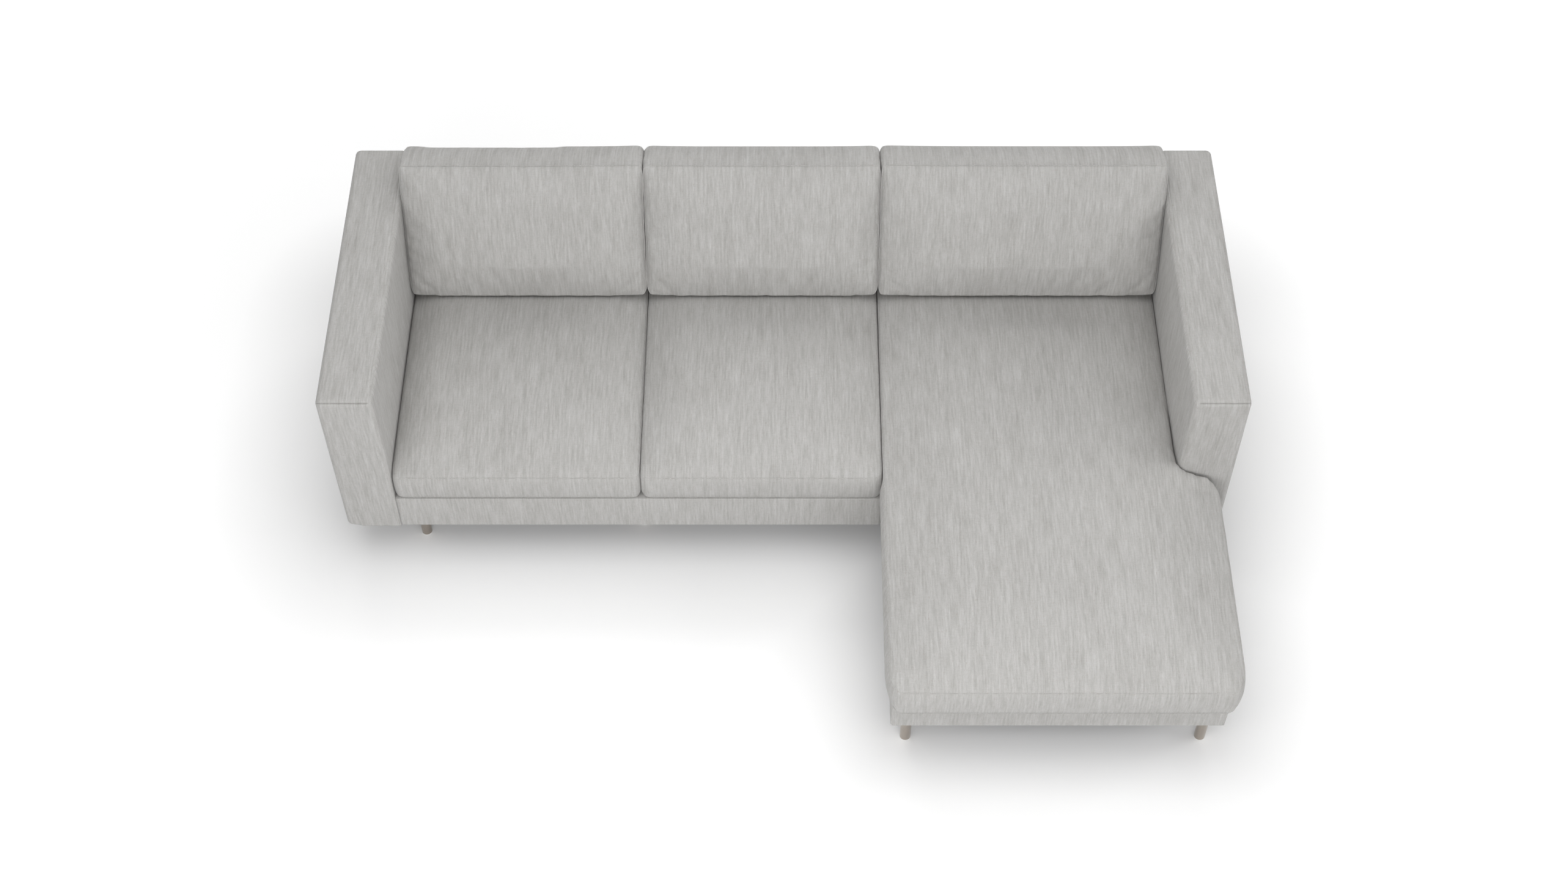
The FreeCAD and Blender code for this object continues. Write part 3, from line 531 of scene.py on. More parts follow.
def slab_profile(bottom, top, lower, upper, hem=None, rings=10):
    """Side profile of a slab as share, offset and height, with a lower and an upper edge's radius.

    hem = (width, depth) sinks the underside behind a hem.
    """
    turn = np.linspace(0.0, math.pi / 2, 6)
    share = [np.linspace(0.0, 1.0, rings), np.ones(12), np.linspace(1.0, 0.0, rings)]
    offset = [np.full(rings, -lower), lower * (np.sin(turn) - 1), upper * (np.cos(turn) - 1), np.full(rings, -upper)]
    height = [np.full(rings, bottom), bottom + lower * (1 - np.cos(turn)), top - upper * (1 - np.sin(turn)),
              np.full(rings, top)]
    if hem:
        share.insert(1, np.ones(3))
        offset[0] = np.full(rings, -hem[0])
        offset.insert(1, np.array([-hem[0], -hem[0] + hem[1], -lower - hem[1]]))
        height[0] = np.full(rings, bottom + hem[1])
        height.insert(1, np.array([bottom + hem[1] * 0.5, bottom, bottom]))
    return np.concatenate(share), np.concatenate(offset), np.concatenate(height)


# %% The two bases
base_step, base_edges, base_hem = 0.008, (0.003, 0.003), (0.022, 0.0016)
deck_drop = 0.0012


def base_cover(name, node, body, corners, rounds, hub, cut):
    """Cloth over a base's rails, with a hem turned under all round."""
    low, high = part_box(node)
    outline = rounded_outline(corners, rounds, base_step)
    profile = slab_profile(low[2], high[2] - deck_drop, *base_edges, base_hem)
    points, squares = carried_outline(outline, hub, *profile)
    made = loose_object(name, points, face_lists(squares))
    sewn_piece(made, body, cut, [node])
    return made


sofa_left, sofa_right, sofa_front, base_rear = -1.052, 0.268, -0.117, 0.778
chaise_left, chaise_wide, chaise_narrow = 0.276, 1.140, 1.052
chaise_front, wing_rear = -0.748, -0.122
corner_round = (0.006, 0.006)
tight_round = (0.0015, 0.0015)

sofa_corners = [(sofa_left, sofa_front), (sofa_right, sofa_front), (sofa_right, base_rear), (sofa_left, base_rear)]
sofa_rounds = [tight_round, corner_round, tight_round, tight_round]
base_cover("sofa_base_upholstery", "sofa_base_cover", "sofa_section", sofa_corners, sofa_rounds, (-0.39, 0.33), 3.0)
chaise_corners = [(chaise_left, chaise_front), (chaise_wide, chaise_front), (chaise_wide, wing_rear),
                  (chaise_narrow, wing_rear), (chaise_narrow, base_rear), (chaise_left, base_rear)]
base_cover("chaise_base_upholstery", "chaise_base_cover", "chaise_section", chaise_corners,
           [corner_round] * 3 + [tight_round] * 3, (0.66, -0.43), 4.0)

# %% [markdown]
# Under the loose cushions lies a deck of grey felt on the springs. It shows only when a cushion is lifted. It is a
# thin pad that swells a little, so it is a slab with a low crown.

# %% The two decks
deck_step, deck_edge, deck_rings = 0.012, 0.003, 14


def deck_pad(name, node, body, corners, rounds, hub, cut):
    """Thin pad: a slab whose top rises to the CAD deck's height in the middle by 1 - share^4."""
    low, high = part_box(node)
    share, offset, height = slab_profile(low[2], high[2], deck_edge, deck_edge, rings=deck_rings)
    top = np.arange(len(share)) >= len(share) - deck_rings
    height = np.where(top, high[2] - deck_drop * 0.6 * share ** 4, height)
    points, squares = carried_outline(rounded_outline(corners, rounds, deck_step), hub, share, offset, height)
    made = loose_object(name, points, face_lists(squares))
    sewn_piece(made, body, cut, [node], deck_felt)
    return made


def plan_box(node):
    """The four corners of a node's box in plan, counter-clockwise."""
    low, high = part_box(node)
    return [(low[0], low[1]), (high[0], low[1]), (high[0], high[1]), (low[0], high[1])]


deck_round = (0.006, 0.006)
deck_inset = 0.004
deck_pad("sofa_deck_felt", "sofa_deck_pad", "sofa_section", plan_box("sofa_deck_pad"), [deck_round] * 4,
         (-0.39, 0.26), 5.0)
front_left, front_right, rear_right, rear_left = plan_box("chaise_deck_pad")
notch_x, notch_y = chaise_narrow - deck_inset, wing_rear - deck_inset
deck_corners = [front_left, front_right, (front_right[0], notch_y), (notch_x, notch_y), (notch_x, rear_right[1]),
                rear_left]
deck_pad("chaise_deck_felt", "chaise_deck_pad", "chaise_section", deck_corners, [deck_round] * 6, (0.66, -0.40), 6.0)

# %% [markdown]
# A thin dark cloth closes each base from below. It is a true sheet, stapled tight under the rails, so it is a flat
# grid that sags by less than a millimetre between its edges, with a thickness from Solidify.

# %% The two dust cloths
sheet_step, sheet_drop, sheet_sag, sheet_thickness = 0.03, 0.0002, 0.0006, 0.0005
sheet_inset = 0.024


def dust_sheet(name, node, body, notch=None):
    """Stretched sheet: z = level - sag * (1 - tx^2)(1 - ty^2) over the node's plan, less the notched corner."""
    low, high = (np.array(corner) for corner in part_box(node))
    x_cuts, y_cuts = (notch[0],) if notch else (), (notch[1],) if notch else ()
    xs = np.unique(np.concatenate([np.arange(low[0], high[0], sheet_step), [high[0]], x_cuts]).round(5))
    ys = np.unique(np.concatenate([np.arange(low[1], high[1], sheet_step), [high[1]], y_cuts]).round(5))
    x, y = np.meshgrid(xs, ys, indexing="ij")
    tx, ty = (2 * x - low[0] - high[0]) / (high[0] - low[0]), (2 * y - low[1] - high[1]) / (high[1] - low[1])
    z = high[2] - sheet_drop - sheet_sag * (1 - tx ** 2) * (1 - ty ** 2)
    points = np.stack([x, y, z], -1).reshape(-1, 3)
    squares = grid_squares(len(xs), len(ys))
    area = (high[0] - low[0]) * (high[1] - low[1])
    if notch:
        middle = points[squares].mean(axis=1)
        squares = squares[~((middle[:, 0] > notch[0]) & (middle[:, 1] > notch[1]))]
        area -= (high[0] - notch[0]) * (high[1] - notch[1])
    used, number = np.unique(squares, return_inverse=True)
    made = loose_object(name, points[used], number.reshape(-1, 4).tolist())
    if made.data.polygons[0].normal.z > 0:
        made.data.flip_normals()
    thick = made.modifiers.new("cloth thickness", "SOLIDIFY")
    thick.thickness = sheet_thickness
    thick.offset = 0.0
    sewn_piece(made, body, 7.0, [node], dust_cloth)
    return made


dust_sheet("sofa_dust_sheet", "sofa_dust_cover", "sofa_section")
dust_sheet("chaise_dust_sheet", "chaise_dust_cover", "chaise_section",
           notch=(chaise_narrow - sheet_inset, wing_rear - sheet_inset))

# %% [markdown]
# The backs stand behind the loose back cushions: a wedge that leans with them, and a rear panel that runs down over
# the rear rail. The profile is a closed line in the Y-Z plane. It is carried along X, and near each end it shrinks by
# a quarter circle, which rounds the ends.

# %% The two backs
back_seat_z, flange_y, back_top_y = 0.2572, base_rear + 0.0004, 0.734
back_line_step, back_ring_step, back_swell = 0.008, 0.03, 0.003
back_hub = np.array([0.784, 0.262])


def back_cover(name, node, body, cut):
    """Profile carried along X: near an end it is moved out by (cos(turn) - 1) * end, and at the end it closes."""
    low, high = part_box(node)
    profile = [(low[1], back_seat_z), (flange_y, back_seat_z), (flange_y, low[2]), (high[1], low[2]),
               (high[1], high[2]), (back_top_y, high[2])]
    rounds = [(r, r) for r in (0.004, 0.002, 0.003, 0.006, 0.014, 0.014)]
    line = rounded_outline(profile, rounds, back_line_step)
    end = 0.004
    turn = np.linspace(0.0, math.pi / 2, 5)
    middle = np.linspace(low[0] + end, high[0] - end, round((high[0] - low[0]) / back_ring_step) + 1)
    x = np.concatenate([[low[0]], low[0] + end * (1 - np.sin(turn)), middle, high[0] - end * (1 - np.sin(turn)),
                        [high[0]]])
    order = np.argsort(x, kind="stable")
    offset = np.concatenate([[-end], end * (np.cos(turn) - 1), np.zeros(len(middle)), end * (np.cos(turn) - 1),
                             [-end]])[order]
    share = np.ones(len(x))
    share[[0, -1]] = 0.0
    x = x[order]
    ring = line[None] + offset[:, None, None] * outward(line)[None]
    plan = back_hub + share[:, None, None] * (ring - back_hub)
    across = np.broadcast_to(x[:, None, None], plan.shape[:2] + (1,))
    points = np.concatenate([across, plan], -1).reshape(-1, 3)
    rear = smooth_step(points[:, 1], high[1] - 0.004, high[1] - 0.001)
    tx = (2 * points[:, 0] - low[0] - high[0]) / (high[0] - low[0])
    tz = (2 * points[:, 2] - low[2] - high[2]) / (high[2] - low[2])
    points[:, 1] += back_swell * rear * (1 - tx ** 4) * (1 - tz ** 4)
    points, squares = welded(points, grid_squares(len(x), len(line), closed=True))
    made = loose_object(name, points, face_lists(squares))
    sewn_piece(made, body, cut, [node])
    return made


back_cover("sofa_back_upholstery", "sofa_back_cover", "sofa_section", 8.0)
back_cover("chaise_back_upholstery", "chaise_back_cover", "chaise_section", 9.0)

# %% [markdown]
# ## Loose cushions
#
# A boxed cushion is two panels joined by a strip, the boxing, with a seam at each edge. Its panel rises from the
# seam in a crown, its boxing swells between the seams, and its corners are small arcs. The start shape has all
# this, a few millimetres small. Blender's Cloth then blows it up a little against its own seams, which gives the
# slack, uneven swell of a filled cover that no formula has. Points near the seams and on the faces that rest on
# something are held. A seeded row of random dents then gathers the cloth a little along the seams.

# %% The start shape of a cushion
underside_rings, foot_rings, boxing_rings, panel_rings = 14, 6, 12, 25
ring_spread = 1.35
edge_steepness = 9


def cushion_profile(height, foot, boxing_bulge):
    """Side profile: flat underside, quarter-circle foot, boxing that bulges by sin(pi t), then the panel's rings."""
    turn = np.linspace(0.0, math.pi / 2, foot_rings)
    t = np.linspace(0.0, 1.0, boxing_rings + 1)[1:]
    share = [np.linspace(0.0, 1.0, underside_rings), np.ones(foot_rings + boxing_rings),
             1 - np.linspace(0.0, 1.0, panel_rings + 1)[1:] ** ring_spread]
    offset = [np.full(underside_rings, -foot), foot * (np.sin(turn) - 1), boxing_bulge * np.sin(math.pi * t),
              np.zeros(panel_rings)]
    level = [np.zeros(underside_rings), foot * (1 - np.cos(turn)), foot + (height - foot) * t,
             np.full(panel_rings, height)]
    return np.concatenate(share), np.concatenate(offset), np.concatenate(level)


def crown(a, b, a_limits, b_limits, rise, edge_rise, power, square):
    """Crown over the panel: edge_rise + rise * i^power, with i = (1 - |ta|^p)(1 - |tb|^q) and square = (p, q).

    edge_rise fades to 0 at the seam, as 1 - (1 - steepness * i)^2.
    """
    ta = np.clip((2 * a - a_limits[0] - a_limits[1]) / (a_limits[1] - a_limits[0]), -1, 1)
    tb = np.clip((2 * b - b_limits[0] - b_limits[1]) / (b_limits[1] - b_limits[0]), -1, 1)
    inside = (1 - np.abs(ta) ** square[0]) * (1 - np.abs(tb) ** square[1])
    return rise * inside ** power + edge_rise * (1 - (1 - np.clip(inside * edge_steepness, 0, 1)) ** 2)


# %% Blowing a cushion up with Cloth
cloth_frames = 20


def mesh_arrays(made):
    """Points and squares of an object after its modifiers, as arrays."""
    mesh = made.evaluated_get(bpy.context.evaluated_depsgraph_get()).to_mesh()
    points = read_vectors(mesh.vertices, "co")
    corners = np.empty(len(mesh.loops), np.int32)
    mesh.loops.foreach_get("vertex_index", corners)
    return points, corners.reshape(-1, 4)


def through_modifier(points, faces, kind, **settings):
    """Runs one modifier that leaves only squares over a mesh, and returns the new points and squares."""
    made = loose_object("work", points, faces)
    modifier = made.modifiers.new(kind, kind)
    for key, value in settings.items():
        setattr(modifier, key, value)
    bpy.context.view_layer.update()
    result = mesh_arrays(made)
    bpy.data.meshes.remove(made.data)
    return result


def blown_up(points, squares, held, cap, pressure, slack):
    """Cloth with pressure for cloth_frames frames; no point moves further than cap * (1 - held)."""
    scene = bpy.context.scene
    made = loose_object("work", points, squares.tolist())
    group = made.vertex_groups.new(name="held")
    steps = np.round(held * 10).astype(int)
    for step in range(1, 11):
        group.add(np.flatnonzero(steps == step).tolist(), step / 10, "REPLACE")
    modifier = made.modifiers.new("filling", "CLOTH")
    settings = modifier.settings
    settings.quality = 3
    settings.mass = 0.2
    settings.tension_stiffness = 12
    settings.compression_stiffness = 8
    settings.shear_stiffness = 4
    settings.bending_stiffness = 0.3
    settings.use_pressure = True
    settings.uniform_pressure_force = pressure
    settings.shrink_min = -slack
    settings.effector_weights.gravity = 0.0
    settings.vertex_group_mass = "held"
    modifier.collision_settings.use_collision = False
    modifier.point_cache.frame_start, modifier.point_cache.frame_end = 1, cloth_frames
    for frame_number in range(1, cloth_frames + 1):
        scene.frame_set(frame_number)
    settled, squares = mesh_arrays(made)
    bpy.data.meshes.remove(made.data)
    scene.frame_set(1)
    move = settled - points
    length = np.maximum(np.linalg.norm(move, axis=1), 1e-9)
    limit = cap * (1 - held)
    return points + move * np.minimum(1.0, limit / length)[:, None], squares


def nearest_gap(points, path, block=4000):
    """Distance from each point to the nearest point of a path, and that point's number, in blocks to spare memory."""
    gaps, numbers = [], []
    for k in range(0, len(points), block):
        square = ((points[k:k + block, None] - path[None]) ** 2).sum(-1)
        numbers.append(square.argmin(axis=1))
        gaps.append(np.sqrt(square.min(axis=1)))
    return np.concatenate(gaps), np.concatenate(numbers)


# %% [markdown]
# A cushion's seam is where panel and boxing are sewn and turned out: a fine raised line in a shallow valley. After
# the remesh, any seam thinner than a square is lost, so it comes last. The surface sinks a little along the seam's
# path, and a thin tube follows that path in the valley.

# %% Seams
seam_sides = 8


def smoothed(path):
    """Each point moved a quarter of the way to each of its two neighbours: (before + 2 * point + after) / 4."""
    return (np.roll(path, 1, axis=0) + 2 * path + np.roll(path, -1, axis=0)) / 4


def puckers(path, seed):
    """How strongly cloth is gathered at each point of a seam: random dents, smoothed twice, as 0 to 1."""
    dents = np.random.default_rng(seed).random(len(path)) ** 3
    for _ in range(2):
        dents = smoothed(dents)
    return dents / dents.max()


def seam_tube(name, made, path, body, radius, cut, proud, press):
    """Tube on a closed path: centre + radius * (cos v * side + sin v * normal).

    The path is dropped on the surface and smoothed, and the centre lies proud * radius above it; press keeps the
    tube off the neighbours.
    """
    tree = BVHTree.FromPolygons([v.co for v in made.data.vertices], [p.vertices for p in made.data.polygons])
    found = [tree.find_nearest(Vector(point))[:2] for point in path]
    centre = np.array([hit[0] for hit in found])
    normal = np.array([hit[1] for hit in found])
    for _ in range(3):
        centre, normal = smoothed(centre), smoothed(normal)
    normal = unit(normal)
    side = unit(np.cross(along_path(centre), normal))
    turn = np.linspace(0.0, 2 * math.pi, seam_sides, endpoint=False)[None, :, None]
    centre = centre + proud * radius * normal
    rings = centre[:, None] + radius * (np.cos(turn) * side[:, None] + np.sin(turn) * normal[:, None])
    rings = press(rings.reshape(-1, 3))
    squares = grid_squares(len(centre), seam_sides, closed=True)
    join = np.stack([np.arange(seam_sides), np.roll(np.arange(seam_sides), -1)], -1)
    last = (len(centre) - 1) * seam_sides
    squares = np.vstack([squares, np.stack([last + join[:, 0], join[:, 0], join[:, 1], last + join[:, 1]], -1)])
    seam = loose_object(name, rings, squares.tolist())
    return sewn_piece(seam, body, cut)


# %% [markdown]
# One function makes a cushion of either kind. A seat cushion's plan lies in X and Y and its crown points up; a back
# cushion's plan lies in X and up the leaning back, and its crown points to the front. Three unit vectors and a
# corner tell the function which.

# %% One cushion
outline_step = 0.007
held_peak, held_reach = 1.15, 0.014
underside_zone = (-0.010, -0.002)
blow_cap = 0.025
valley_reach = 0.0045
gather_inset, gather_reach = 0.012, 0.014
seam_radius, lower_seam_share = 0.0013, 0.35


def make_cushion(name, plan, rounds, hub, place, limits, press, body, nodes, cut, thickness, foot, bulge, rise,
                 edge_rise, power, square, voxel, pressure=4.0, slack=0.0, draw=None, gather=0.0008,
                 proud=0.15, valley=0.0016, extra=None):
    """Start shape, Cloth, contact planes, one subdivision, seam valley and seam tubes of one cushion.

    place = (origin, a, b, c) holds the corner and the unit vectors of the plan and of the crown. limits(a, b) gives
    the crown's limits on a and b, and press(points) moves points off the neighbours. draw moves the outline in or
    out, extra adds to the crown, gather and valley are the depths of the dents beside the seam and of the valley
    under it, and proud is how far the seam stands out, in its own radii.
    """
    outline = rounded_outline(plan, rounds, outline_step)
    if draw:
        outline = outline + draw(outline)[:, None] * outward(outline)
    share, offset, level = cushion_profile(thickness, foot, bulge)
    local, squares = carried_outline(outline, hub, share, offset, level)
    panel = local[:, 2] >= thickness - 1e-6
    a_limits, b_limits = limits(local[:, 0], local[:, 1])
    local[:, 2] += panel * crown(local[:, 0], local[:, 1], a_limits, b_limits, rise, edge_rise, power, square)
    if extra:
        local[:, 2] += panel * extra(local[:, 0], local[:, 1])
    origin, *axes = (np.array(v, float) for v in place)
    axes = np.stack(axes)

    def world(points):
        return origin + points @ axes

    def seam_path(inset, height):
        line = outline + inset * outward(outline)
        return world(np.column_stack([line, np.full(len(line), height)]))

    top_seam = seam_path(0.0, thickness)
    bottom_seam = seam_path(-foot * lower_seam_share, foot * lower_seam_share)
    points, faces = world(local), face_lists(squares)
    points, squares = through_modifier(points, faces, "REMESH", mode="VOXEL", voxel_size=voxel)
    flat = (points - origin) @ axes.T
    seam_gap, _ = nearest_gap(points, np.vstack([top_seam, bottom_seam])[::2])
    held = np.clip(held_peak * np.exp(-(seam_gap / held_reach) ** 2), 0, 1)
    held = np.maximum(held, smooth_step(-flat[:, 2], *underside_zone))
    points, squares = blown_up(points, squares, held, blow_cap, pressure, slack)
    points, squares = through_modifier(press(points), squares.tolist(), "SUBSURF", levels=1, render_levels=1)
    points = press(points)
    made = loose_object(name, points, squares.tolist())
    normals = read_vectors(made.data.vertices, "normal")
    gap, number = nearest_gap(points, top_seam)
    gathered = gather * puckers(top_seam, round(cut))[number] * np.exp(-((gap - gather_inset) / gather_reach) ** 2)
    points = press(points - normals * (valley * np.exp(-(gap / valley_reach) ** 2) + gathered)[:, None])
    made.data.vertices.foreach_set("co", points.astype(np.float32).ravel())
    made.data.update()
    seam_tube(name + "_seam", made, top_seam, body, seam_radius, cut + 0.5, proud, press)
    seam_tube(name + "_lower_seam", made, bottom_seam, body, seam_radius, cut + 0.6, 0.0, press)
    sewn_piece(made, body, cut, nodes)
    return made


# %% [markdown]
# ## Seat cushions
#
# The two seats of the sofa section are almost square. They touch the arm, each other and the chaise's cushion with
# flat sides, rest flat on the deck, and are pressed flat at the rear under the back cushions; only the front and
# the top before the back cushions are free to swell.

# %% The two square seats
lean = math.radians(19.5)
back_foot = (0.618, 0.350)
seat_bottom, seat_rear = 0.257, 0.5844
seat_front, chaise_nose = -0.1175, -0.792
seam_rise, seat_skin = 0.092, 0.0012
foot_start, foot_reach = -0.004, 0.010
left_sides, middle_sides, chaise_sides = (-1.0517, -0.3851), (-0.3849, 0.2659), (0.2661, 1.0517)
seat_place = (0, 0, seat_bottom), (1, 0, 0), (0, 1, 0), (0, 0, 1)


def under_back_cushions(points):
    """Keeps points below the plane of the back cushions' feet, which rises forward by the lean's tangent."""
    top = back_foot[1] - seat_skin + (back_foot[0] - points[:, 1]) * math.tan(lean)
    points = points.copy()
    points[:, 2] = np.minimum(points[:, 2], top)
    return points


def seat_contact(x_low, x_high, free_before=-1.0, free_low=None, free_high=None):
    """Contact planes of a seat: deck, neighbours, and back cushions; before free_before the sides may go further.

    The foot is pressed flat: height h above the deck becomes h * smooth_step(h) over foot_reach.
    """
    free_low = x_low if free_low is None else free_low
    free_high = x_high if free_high is None else free_high

    def press(points):
        points = under_back_cushions(points)
        open_side = smooth_step(-points[:, 1], -free_before, -free_before + 0.02)
        points[:, 0] = np.clip(points[:, 0], x_low + (free_low - x_low) * open_side,
                               x_high + (free_high - x_high) * open_side)
        points[:, 1] = np.clip(points[:, 1], chaise_nose, seat_rear)
        height = np.maximum(points[:, 2] - seat_bottom, 0)
        points[:, 2] = seat_bottom + height * smooth_step(height, foot_start, foot_reach)
        return points

    return press


def square_seat(name, x_low, x_high, cut, body, which):
    """One of the two square seats between its side limits."""
    plan = [(x_low, seat_front), (x_high, seat_front), (x_high, seat_rear), (x_low, seat_rear)]
    rounds = [(0.022, 0.022), (0.022, 0.022), (0.020, 0.020), (0.020, 0.020)]

    def limits(a, b):
        return (x_low, x_high), (seat_front, seat_rear)

    return make_cushion(
        name, plan, rounds, ((x_low + x_high) / 2, (seat_front + seat_rear) / 2), seat_place, limits,
        seat_contact(x_low, x_high), body, [f"seat_cushion_cover_{which}", f"seat_cushion_core_{which}"], cut,
        thickness=seam_rise, foot=0.004, bulge=0.004, rise=0.037, edge_rise=0.009, power=0.62, square=(6, 2),
        voxel=0.012)


square_seat("left_seat_cushion", *left_sides, 10.0, "seat_cushion_left", "left")
square_seat("middle_seat_cushion", *middle_sides, 11.0, "seat_cushion_middle", "middle")

# %% [markdown]
# The chaise's cushion runs forward past the sofa's front and widens in front of the arm. Its front corners are long
# soft curves, and its boxing bulges over the base on the three free sides. Where the arm's front corner presses
# into it, the cloth comes up in a small hump.

# %% The chaise's seat
chaise_seam_left, crown_left, crown_right = 0.2615, 0.2635, 1.0515
wing_right, nose_seam, wing_seam = 1.161, -0.785, -0.1225
chaise_plan = [(chaise_seam_left, nose_seam), (wing_right, nose_seam), (wing_right, wing_seam),
               (chaise_sides[1], wing_seam), (chaise_sides[1], seat_rear), (chaise_sides[0], seat_rear)]
wing_blend = (-0.18, 0.12)
chaise_rounds = [(0.090, 0.036), (0.036, 0.090), (0.055, 0.060), (0.006, 0.010), (0.020, 0.020), (0.020, 0.020)]


def chaise_limits(a, b):
    """Crown limits: behind the wing the right one moves in, over 0.3 m, from the wing's side to the arm's."""
    wide = smooth_step(-b, *wing_blend)
    return (np.full_like(a, crown_left), crown_right + (wing_right - crown_right) * wide), (nose_seam, seat_rear)


squeeze_rise, squeeze_reach = 0.020, 0.040


def squeezed_up(a, b):
    """The arm's front corner squeezes the cushion up: squeeze_rise * exp(-(distance / squeeze_reach)^2)."""
    distance_squared = (a - chaise_sides[1]) ** 2 + (b - wing_seam) ** 2
    return squeeze_rise * np.exp(-distance_squared / squeeze_reach ** 2)


make_cushion(
    "chaise_seat_cushion", chaise_plan, chaise_rounds, (0.70, -0.40), seat_place, chaise_limits,
    seat_contact(*chaise_sides, free_before=-0.118, free_low=0.254, free_high=1.169), "seat_cushion_chaise",
    ["seat_cushion_cover_chaise", "seat_cushion_core_chaise"], 12.0, thickness=seam_rise + 0.006, foot=0.005,
    bulge=0.005, rise=0.034, edge_rise=0.007, power=0.62, square=(5, 2), voxel=0.013, extra=squeezed_up)

# %% [markdown]
# ## Back cushions
#
# The back cushions are fuller and slacker than the seats, and their seams stand out more. They stand over the
# seats' rear edges and lean on the backs. Their front panels swell, their sides meet, their tops sag by a few
# millimetres, and their corners round off, so a small V shows between two of them.

# %% The three back cushions
back_up = (0.0, math.sin(lean), math.cos(lean))
back_out = (0.0, -math.cos(lean), math.sin(lean))
back_height, back_thickness = 0.407, 0.131
back_skin, side_draw = 0.0004, 0.002


def back_contact(x_low, x_high):
    """Contact planes of a back cushion: neighbours, the back behind it and the seat under it."""
    origin = np.array([0.0, *back_foot])
    up, out = np.array(back_up), np.array(back_out)

    def press(points):
        points = points.copy()
        points[:, 0] = np.clip(points[:, 0], x_low, x_high)
        height = (points - origin) @ up
        depth = (points - origin) @ out
        pressed = np.maximum(height, 0) * smooth_step(height, foot_start, foot_reach)
        points += (np.maximum(pressed, back_skin) - height)[:, None] * up
        points += np.maximum(back_skin - depth, 0)[:, None] * out
        return points

    return press


def back_cushion(name, x_low, x_high, cut, which, dip, skew):
    """One back cushion between its side limits; its top sinks by dip, with the lowest place moved by skew."""
    plan = [(x_low, back_skin), (x_high, back_skin), (x_high, back_height), (x_low, back_height)]
    rounds = [(0.014, 0.016), (0.016, 0.014), (0.012, 0.012), (0.012, 0.012)]

    def limits(a, b):
        return (x_low, x_high), (0.0, back_height)

    def drawn_in(outline):
        """Sides pull in by side_draw, as sin(pi t)^2 between their corners; the top sinks as 1 - (2t - 1)^4."""
        beside = np.minimum(outline[:, 0] - x_low, x_high - outline[:, 0]) < 0.02
        above = outline[:, 1] > back_height - 0.005
        t = np.clip((outline[:, 0] - x_low) / (x_high - x_low), 0, 1) ** skew
        return (-side_draw * beside * np.sin(math.pi * np.clip(outline[:, 1] / back_height, 0, 1)) ** 2
                - dip * above * (1 - (2 * t - 1) ** 4))

    return make_cushion(
        name, plan, rounds, ((x_low + x_high) / 2, back_height / 2), ((0, *back_foot), (1, 0, 0), back_up, back_out),
        limits, back_contact(x_low, x_high), f"back_cushion_{which}",
        [f"back_cushion_cover_{which}", f"back_cushion_core_{which}"], cut, thickness=back_thickness, foot=0.012,
        bulge=0.004, rise=0.018, edge_rise=0.011, power=0.50, square=(4, 3), voxel=0.011, pressure=4.5,
        slack=0.02, draw=drawn_in, gather=0.0016, proud=0.7, valley=0.0004)


back_cushion("left_back_cushion", *left_sides, 13.0, "left", dip=0.006, skew=0.6)
back_cushion("middle_back_cushion", *middle_sides, 14.0, "middle", dip=0.005, skew=1.0)
back_cushion("chaise_back_cushion", *chaise_sides, 15.0, "chaise", dip=0.004, skew=1.2)

# %% [markdown]
# ## Floor, world and lamps
#
# The photograph was taken on a white floor under large soft lamps, and only a soft grey shadow is left. The floor's
# white comes from its own colour plus a little glow that only the camera and mirror-like reflections see, so no
# extra light falls on the sofa. The glow is weakest at the sofa and grows with the distance from it, so it paints
# shade on the floor round the sofa, on top of the real shadow. The world lights evenly. Six large lamps stand round
# the sofa: a low one in front lights the fronts, a near one above lets the light fade towards the rear, and the
# others light the tops, the rear and the two sides.

# %% Floor
def worked_out(tree, operation, first, second):
    """The value of a Math node that joins two sockets or numbers by one operation."""
    return add_node(tree, "ShaderNodeMath", {0: first, 1: second}, operation=operation).outputs["Value"]


def seen_ray(tree):
    """1 for rays from the camera, from glossy reflections and through glass, and 0 for light that bounces around."""
    path = add_node(tree, "ShaderNodeLightPath").outputs
    camera_or_glossy = worked_out(tree, "MAXIMUM", path["Is Camera Ray"], path["Is Glossy Ray"])
    return worked_out(tree, "MAXIMUM", camera_or_glossy, path["Is Transmission Ray"])


def away_from_box(tree, place, low, high):
    """Distance in plan from a box: the length of max(|p - centre| - half, 0)."""
    centre = [(a + b) / 2 for a, b in zip(low, high)] + [0.0]
    half = [(b - a) / 2 for a, b in zip(low, high)] + [1.0]
    vector = place
    for operation, other in (("SUBTRACT", centre), ("ABSOLUTE", None), ("SUBTRACT", half), ("MAXIMUM", (0, 0, 0))):
        inputs = {0: vector} if other is None else {0: vector, 1: other}
        vector = add_node(tree, "ShaderNodeVectorMath", inputs, operation=operation).outputs["Vector"]
    return add_node(tree, "ShaderNodeVectorMath", {0: vector}, operation="LENGTH").outputs["Value"]


def rising(tree, value, start, end, low, high, kind="LINEAR"):
    """Map Range: low up to start, high from end on, and a straight or smooth rise between them."""
    return add_node(tree, "ShaderNodeMapRange", {"Value": value, "From Min": start, "From Max": end, "To Min": low,
                                                 "To Max": high}, interpolation_type=kind).outputs["Result"]


sofa_footprint, chaise_footprint = ((-1.20, -0.12), (1.20, 0.79)), ((0.27, -0.75), (1.14, 0.0))
bounced_white, seen_white = (0.80, 0.80, 0.80, 1), (0.86, 0.86, 0.86, 1)
# The glow is least_glow at the sofa and rises to near_glow at near_end metres from it, which is painted shade on the
# floor round the sofa. The far glow whitens the floor further out.
near_start, near_end, least_glow, near_glow = 0.0, 0.45, 0.055, 0.30
far_start, far_end, far_glow = 0.4, 5.0, 0.60

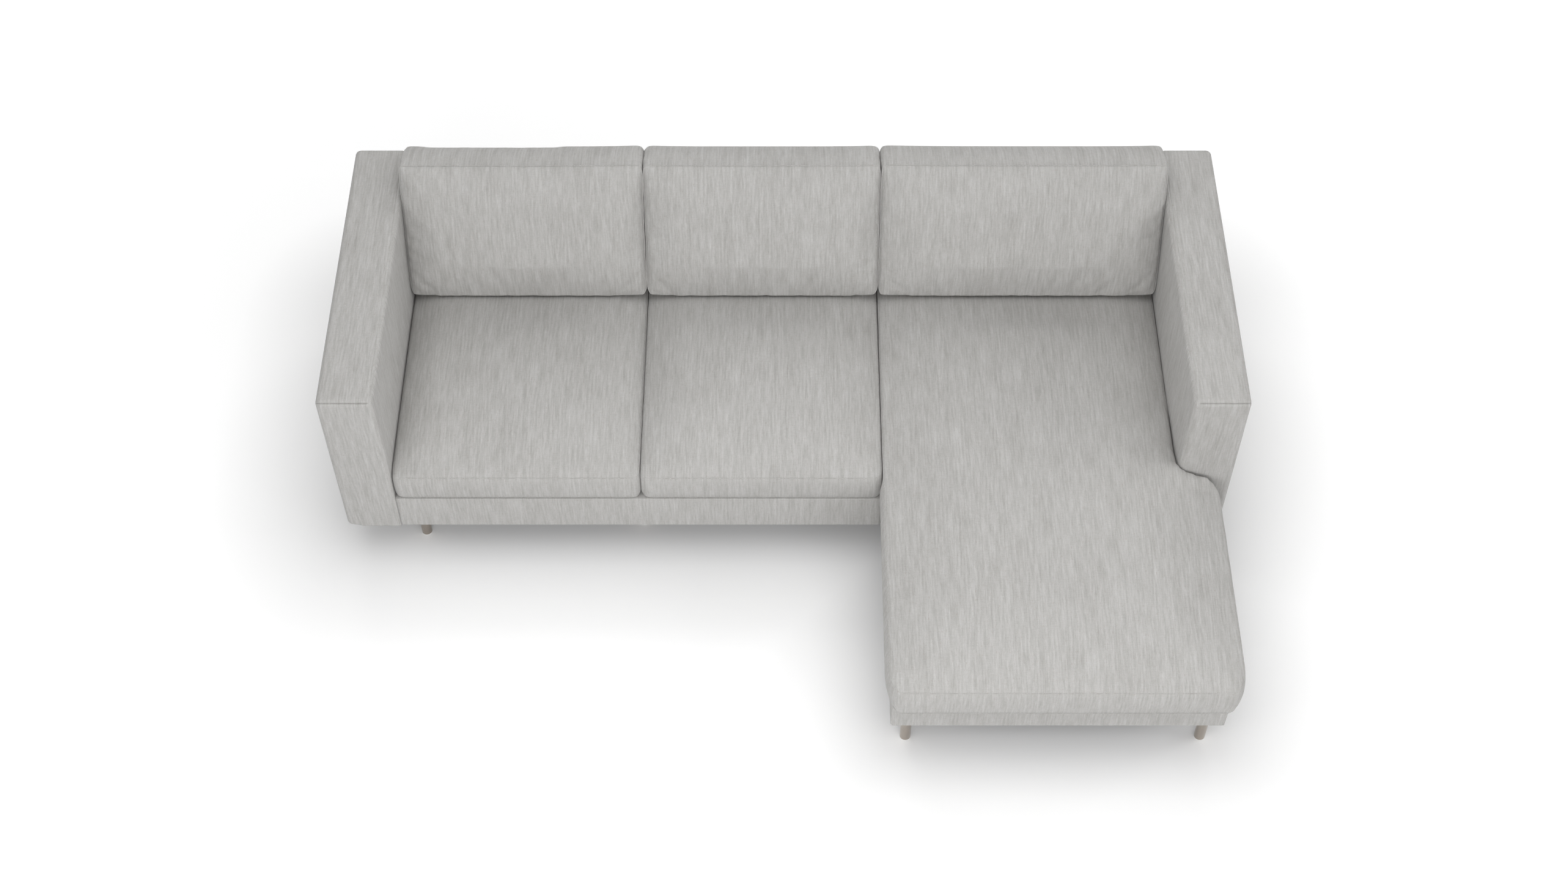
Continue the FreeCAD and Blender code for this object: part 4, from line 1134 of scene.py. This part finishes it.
floor_material = bpy.data.materials.new("studio_floor")
floor_material.use_nodes = True
floor_tree = floor_material.node_tree
floor_tree.nodes.clear()
floor_place = object_metres(floor_tree)
floor_gap = worked_out(floor_tree, "MINIMUM", away_from_box(floor_tree, floor_place, *sofa_footprint),
                       away_from_box(floor_tree, floor_place, *chaise_footprint))
# Painted shade: the floor's glow is weakest next to the sofa and rises over near_end metres.
painted_shade_glow = rising(floor_tree, floor_gap, near_start, near_end, least_glow, near_glow)
far_rise = rising(floor_tree, floor_gap, far_start, far_end, 0.0, far_glow, "SMOOTHSTEP")
floor_seen = seen_ray(floor_tree)
glow_share = worked_out(floor_tree, "MULTIPLY", floor_seen, worked_out(floor_tree, "ADD", painted_shade_glow, far_rise))
paint = add_node(floor_tree, "ShaderNodeBsdfDiffuse",
                 {"Color": blend_colours(floor_tree, floor_seen, bounced_white, seen_white)})
glow = add_node(floor_tree, "ShaderNodeEmission", {"Strength": glow_share})
both = add_node(floor_tree, "ShaderNodeAddShader", {0: paint.outputs[0], 1: glow.outputs[0]})
add_node(floor_tree, "ShaderNodeOutputMaterial", {"Surface": both.outputs[0]})

floor_half = 40.0
floor_points = np.array([(-1, -1, 0), (1, -1, 0), (1, 1, 0), (-1, 1, 0)]) * floor_half
floor = loose_object("studio_floor", floor_points, [[0, 1, 2, 3]])
floor.data.materials.append(floor_material)
print("floor", 2 * floor_half, "m square")

# %% World
world = bpy.data.worlds.new("studio_world")
bpy.context.scene.world = world
world.use_nodes = True
world_tree = world.node_tree
world_tree.nodes.clear()
world_light = 0.27
seen = seen_ray(world_tree)
even_light = add_node(world_tree, "ShaderNodeBackground", {"Color": (1, 1, 1, 1), "Strength": world_light})
white_wall = add_node(world_tree, "ShaderNodeBackground", {"Color": (1, 1, 1, 1), "Strength": 1.0})
mixed = add_node(world_tree, "ShaderNodeMixShader", {0: seen, 1: even_light.outputs[0], 2: white_wall.outputs[0]})
add_node(world_tree, "ShaderNodeOutputWorld", {"Surface": mixed.outputs[0]})
print("world light", world_light)

# %% Lamps
sofa_middle = (0.0, 0.0, 0.4)


def soft_lamp(name, place, aim, size, power):
    """A rectangular area lamp that faces a point."""
    data = bpy.data.lights.new(name, "AREA")
    data.shape = "RECTANGLE"
    data.size, data.size_y = size
    data.energy = power
    lamp = bpy.data.objects.new(name, data)
    lamp.location = place
    lamp.rotation_euler = (Vector(aim) - Vector(place)).to_track_quat("-Z", "Y").to_euler()
    bpy.context.scene.collection.objects.link(lamp)
    return lamp


lamps = [
    soft_lamp("low_front_lamp", (0.0, -6.0, 1.6), (0.0, 0.0, 0.45), (5.0, 2.0), 126.0),
    soft_lamp("near_lamp", (0.0, -2.1, 2.3), (0.0, -0.9, 0.4), (4.0, 1.0), 22.0),
    soft_lamp("top_lamp", (0.0, -1.0, 4.5), (0.0, -1.0, 0.0), (5.0, 3.0), 73.0),
    soft_lamp("rear_lamp", (0.0, 3.5, 3.5), sofa_middle, (5.0, 2.5), 71.0),
    soft_lamp("left_lamp", (-5.0, -0.3, 2.6), sofa_middle, (3.0, 2.0), 24.0),
    soft_lamp("right_lamp", (5.0, -0.3, 2.6), sofa_middle, (3.0, 2.0), 51.0),
]
print(len(lamps), "soft lamps")
